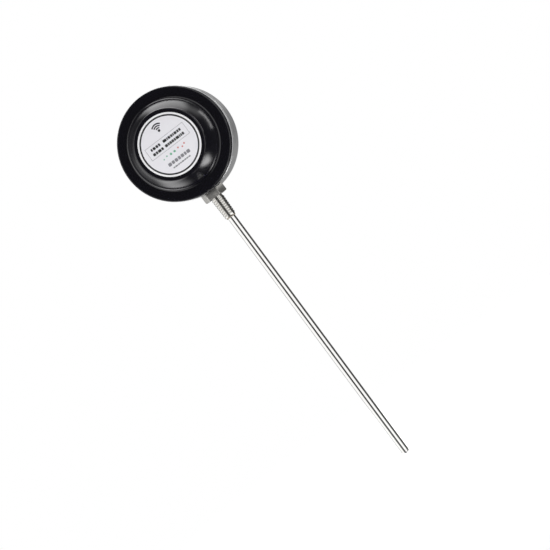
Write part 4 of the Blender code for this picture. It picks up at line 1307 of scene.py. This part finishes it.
def make_leads():
    """Three insulated leads on smooth runs from the stem's top into their terminals."""
    tones = {"red": (0.50, 0.02, 0.02), "white": (0.74, 0.74, 0.71), "grey": (0.20, 0.20, 0.21)}
    for place, (word, tone) in enumerate(tones.items(), -1):
        name = "lead_" + word
        foot, spread = 1.25 * place, 4.2 * place
        stops = [(foot, 0, 12.1), (foot, 0, 15.0), (0.6 * spread, -1.5, 19.5)]
        stops += [(0.9 * spread, -5.5, 23.0), (spread, -9.5, 24.0), (spread, -12.3, 25.0)]
        stops += [(spread, -13.2, 27.4), (spread, -13.2, 29.6)]
        lead = drawn(route(stops, 10), 0.45, 20)
        finished(name, lead, rubber(name, tone, (0, -0.008, 0.022)), place=STEM_PLACE)


def dress_tube_parts():
    """The small parts inside the tube keep their CAD shapes and take real finishes."""
    ceramic, resin = fired_ceramic(), cast_resin()
    fine_copper = metal("fine_copper", (0.78, 0.42, 0.26), 0.28, (4, 4, 0.05), 2.0, 0.35, ORIGIN)
    finishes = {"rtd_element": ceramic, "stem_insulator": ceramic, "stem_potting": resin}
    finishes |= {f"element_wire_{n}": fine_copper for n in (1, 2, 3)}
    for node, finish in finishes.items():
        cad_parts[node].material_slots[0].material = finish


# Floor, light and camera

FLOOR_GAP = 0.002


def make_floor():
    """A pale round floor below the tip that thins out before its edge."""
    even = {"Base Color": colour(0.95, 0.95, 0.95), "Roughness": 0.9, "Emission Color": colour(1, 1, 1)}
    floor = Finish("pale_floor", {**even, "Emission Strength": 0.55}, ORIGIN)
    x, y, _ = floor.parts(floor.spot())
    faded = floor.ease(radius_of(x, y), 150, 420)
    solid, clear = Value(floor, floor.shader.outputs[0]), floor.node("ShaderNodeBsdfTransparent")
    mix = floor.node("ShaderNodeMixShader", None, {0: faded, 1: solid, 2: clear})
    floor.tree.links.new(mix.socket, floor.tree.nodes["Material Output"].inputs["Surface"])
    place = Matrix.Translation((0, 0, CAD_BOX[0].z - FLOOR_GAP)) @ STEM_PLACE
    ground = holder_of("floor", turned([(450, -1), (450, 0), (0, 0), (0, -1)], 96), place)
    ground.data.materials.append(floor.material)
    ground.visible_glossy = False
    ground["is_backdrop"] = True


# Each panel: its bearings from and to and their softness, its heights from and to and theirs,
# all in degrees, and its strength. Bearing 0 is the front, and it grows to the right.
SKY_PANELS = [(240, 328, 2, -66, 66, 6, 1.25), (13, 76, 2, -66, 66, 6, 1.25),
              (190, 240, 6, -16, 14, 8, 0.24), (108, 196, 16, 36, 78, 7, 3.0),
              (214, 262, 12, -54, -25, 12, 2.7), (110, 142, 6, -73, -53, 5, 7.5),
              (108, 124, 8, 14, 40, 8, 1.0)]
SKY_LEVEL = 0.08


def make_studio():
    """Soft panels round the object, as one sky; the camera sees plain white behind the object."""
    world = bpy.data.worlds.new("studio")
    world.use_nodes = True
    bpy.context.scene.world = world
    sky = Sheet(world.node_tree)
    world.node_tree.nodes.clear()
    x, y, z = sky.parts(sky.node("ShaderNodeTexCoord"))
    bearing = 180 - x.math("ARCTAN2", y) * math.degrees(1)
    height = z.math("ARCSINE") * math.degrees(1)
    level = SKY_LEVEL
    for start, end, soft, low, high, fade, strength in SKY_PANELS:
        across = sky.window(bearing, start, end, soft)
        level = across * sky.window(height, low, high, fade) * strength + level
    behind = sky.ease(y, 0.93, 0.97)
    level = behind * (sky.ease(height.math("ABSOLUTE"), 3, 9) * 0.2 + 0.26) + level
    seen = sky.node("ShaderNodeLightPath")
    bright = sky.node("ShaderNodeMix", {"data_type": "FLOAT"}, {0: seen, 2: level, 3: 1.0})
    light = sky.node("ShaderNodeBackground", None, {"Color": colour(1, 1, 1), "Strength": bright})
    out = sky.tree.nodes.new("ShaderNodeOutputWorld")
    sky.tree.links.new(light.socket, out.inputs["Surface"])


def way_to(bearing, height):
    """The way to a bearing and a height, in degrees."""
    turn, rise = math.radians(bearing), math.radians(height)
    return Vector((math.sin(turn) * math.cos(rise), -math.cos(turn) * math.cos(rise), math.sin(rise)))


STRIP_BEARING, STRIP_HEIGHT, STRIP_DISTANCE = 102, 3, 0.10


def make_strip_light():
    """A narrow soft light close beside the head, facing it, out of the camera's sight."""
    light = bpy.data.lights.new("right_strip_light", "AREA")
    light.shape = "RECTANGLE"
    light.size, light.size_y = 0.010, 0.056
    light.energy = 0.0065
    lamp = bpy.data.objects.new("right_strip_light", light)
    away = way_to(STRIP_BEARING, STRIP_HEIGHT)
    lamp.location = HEAD + away * STRIP_DISTANCE
    lamp.rotation_mode = "QUATERNION"
    lamp.rotation_quaternion = away.to_track_quat("Z", "Y")
    lamp.visible_camera = False
    bpy.context.scene.collection.objects.link(lamp)


CAMERA_BEARING, CAMERA_HEIGHT, CAMERA_ROLL = 8.46, 1.1, 36.57
CAMERA_DISTANCE = 1.075
AIM = Vector((0.0002, 0, -0.070))


def make_camera():
    """A long lens, a little to the right, rolled so that the stem runs down to the right."""
    lens = bpy.data.cameras.new("camera")
    lens.lens = 98
    lens.sensor_width = 36
    away, roll = way_to(CAMERA_BEARING, CAMERA_HEIGHT), math.radians(CAMERA_ROLL)
    right = (-away).cross(Vector((0, 0, 1))).normalized()
    up = right.cross(-away) * math.cos(roll) + right * math.sin(roll)
    turn = Matrix(((-away).cross(up), up, away)).transposed()
    camera = bpy.data.objects.new("camera", lens)
    camera.matrix_world = Matrix.Translation(AIM + away * CAMERA_DISTANCE) @ turn.to_4x4()
    bpy.context.scene.collection.objects.link(camera)
    bpy.context.scene.camera = camera
    bpy.context.scene.view_settings.view_transform = "Standard"


for make in (make_cap, make_label, make_seal, make_case, make_spigot_ring, make_fitting, make_welds,
             make_stem, make_board, make_fixings, make_battery, make_radio, make_chips, make_terminals,
             make_pair_switch, make_power_switch, make_leads, dress_tube_parts, make_floor, make_studio,
             make_strip_light, make_camera):
    make()

boxes = {"cad": CAD_BOX, "visual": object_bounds()}
{name: [list(corner) for corner in box] for name, box in boxes.items()}
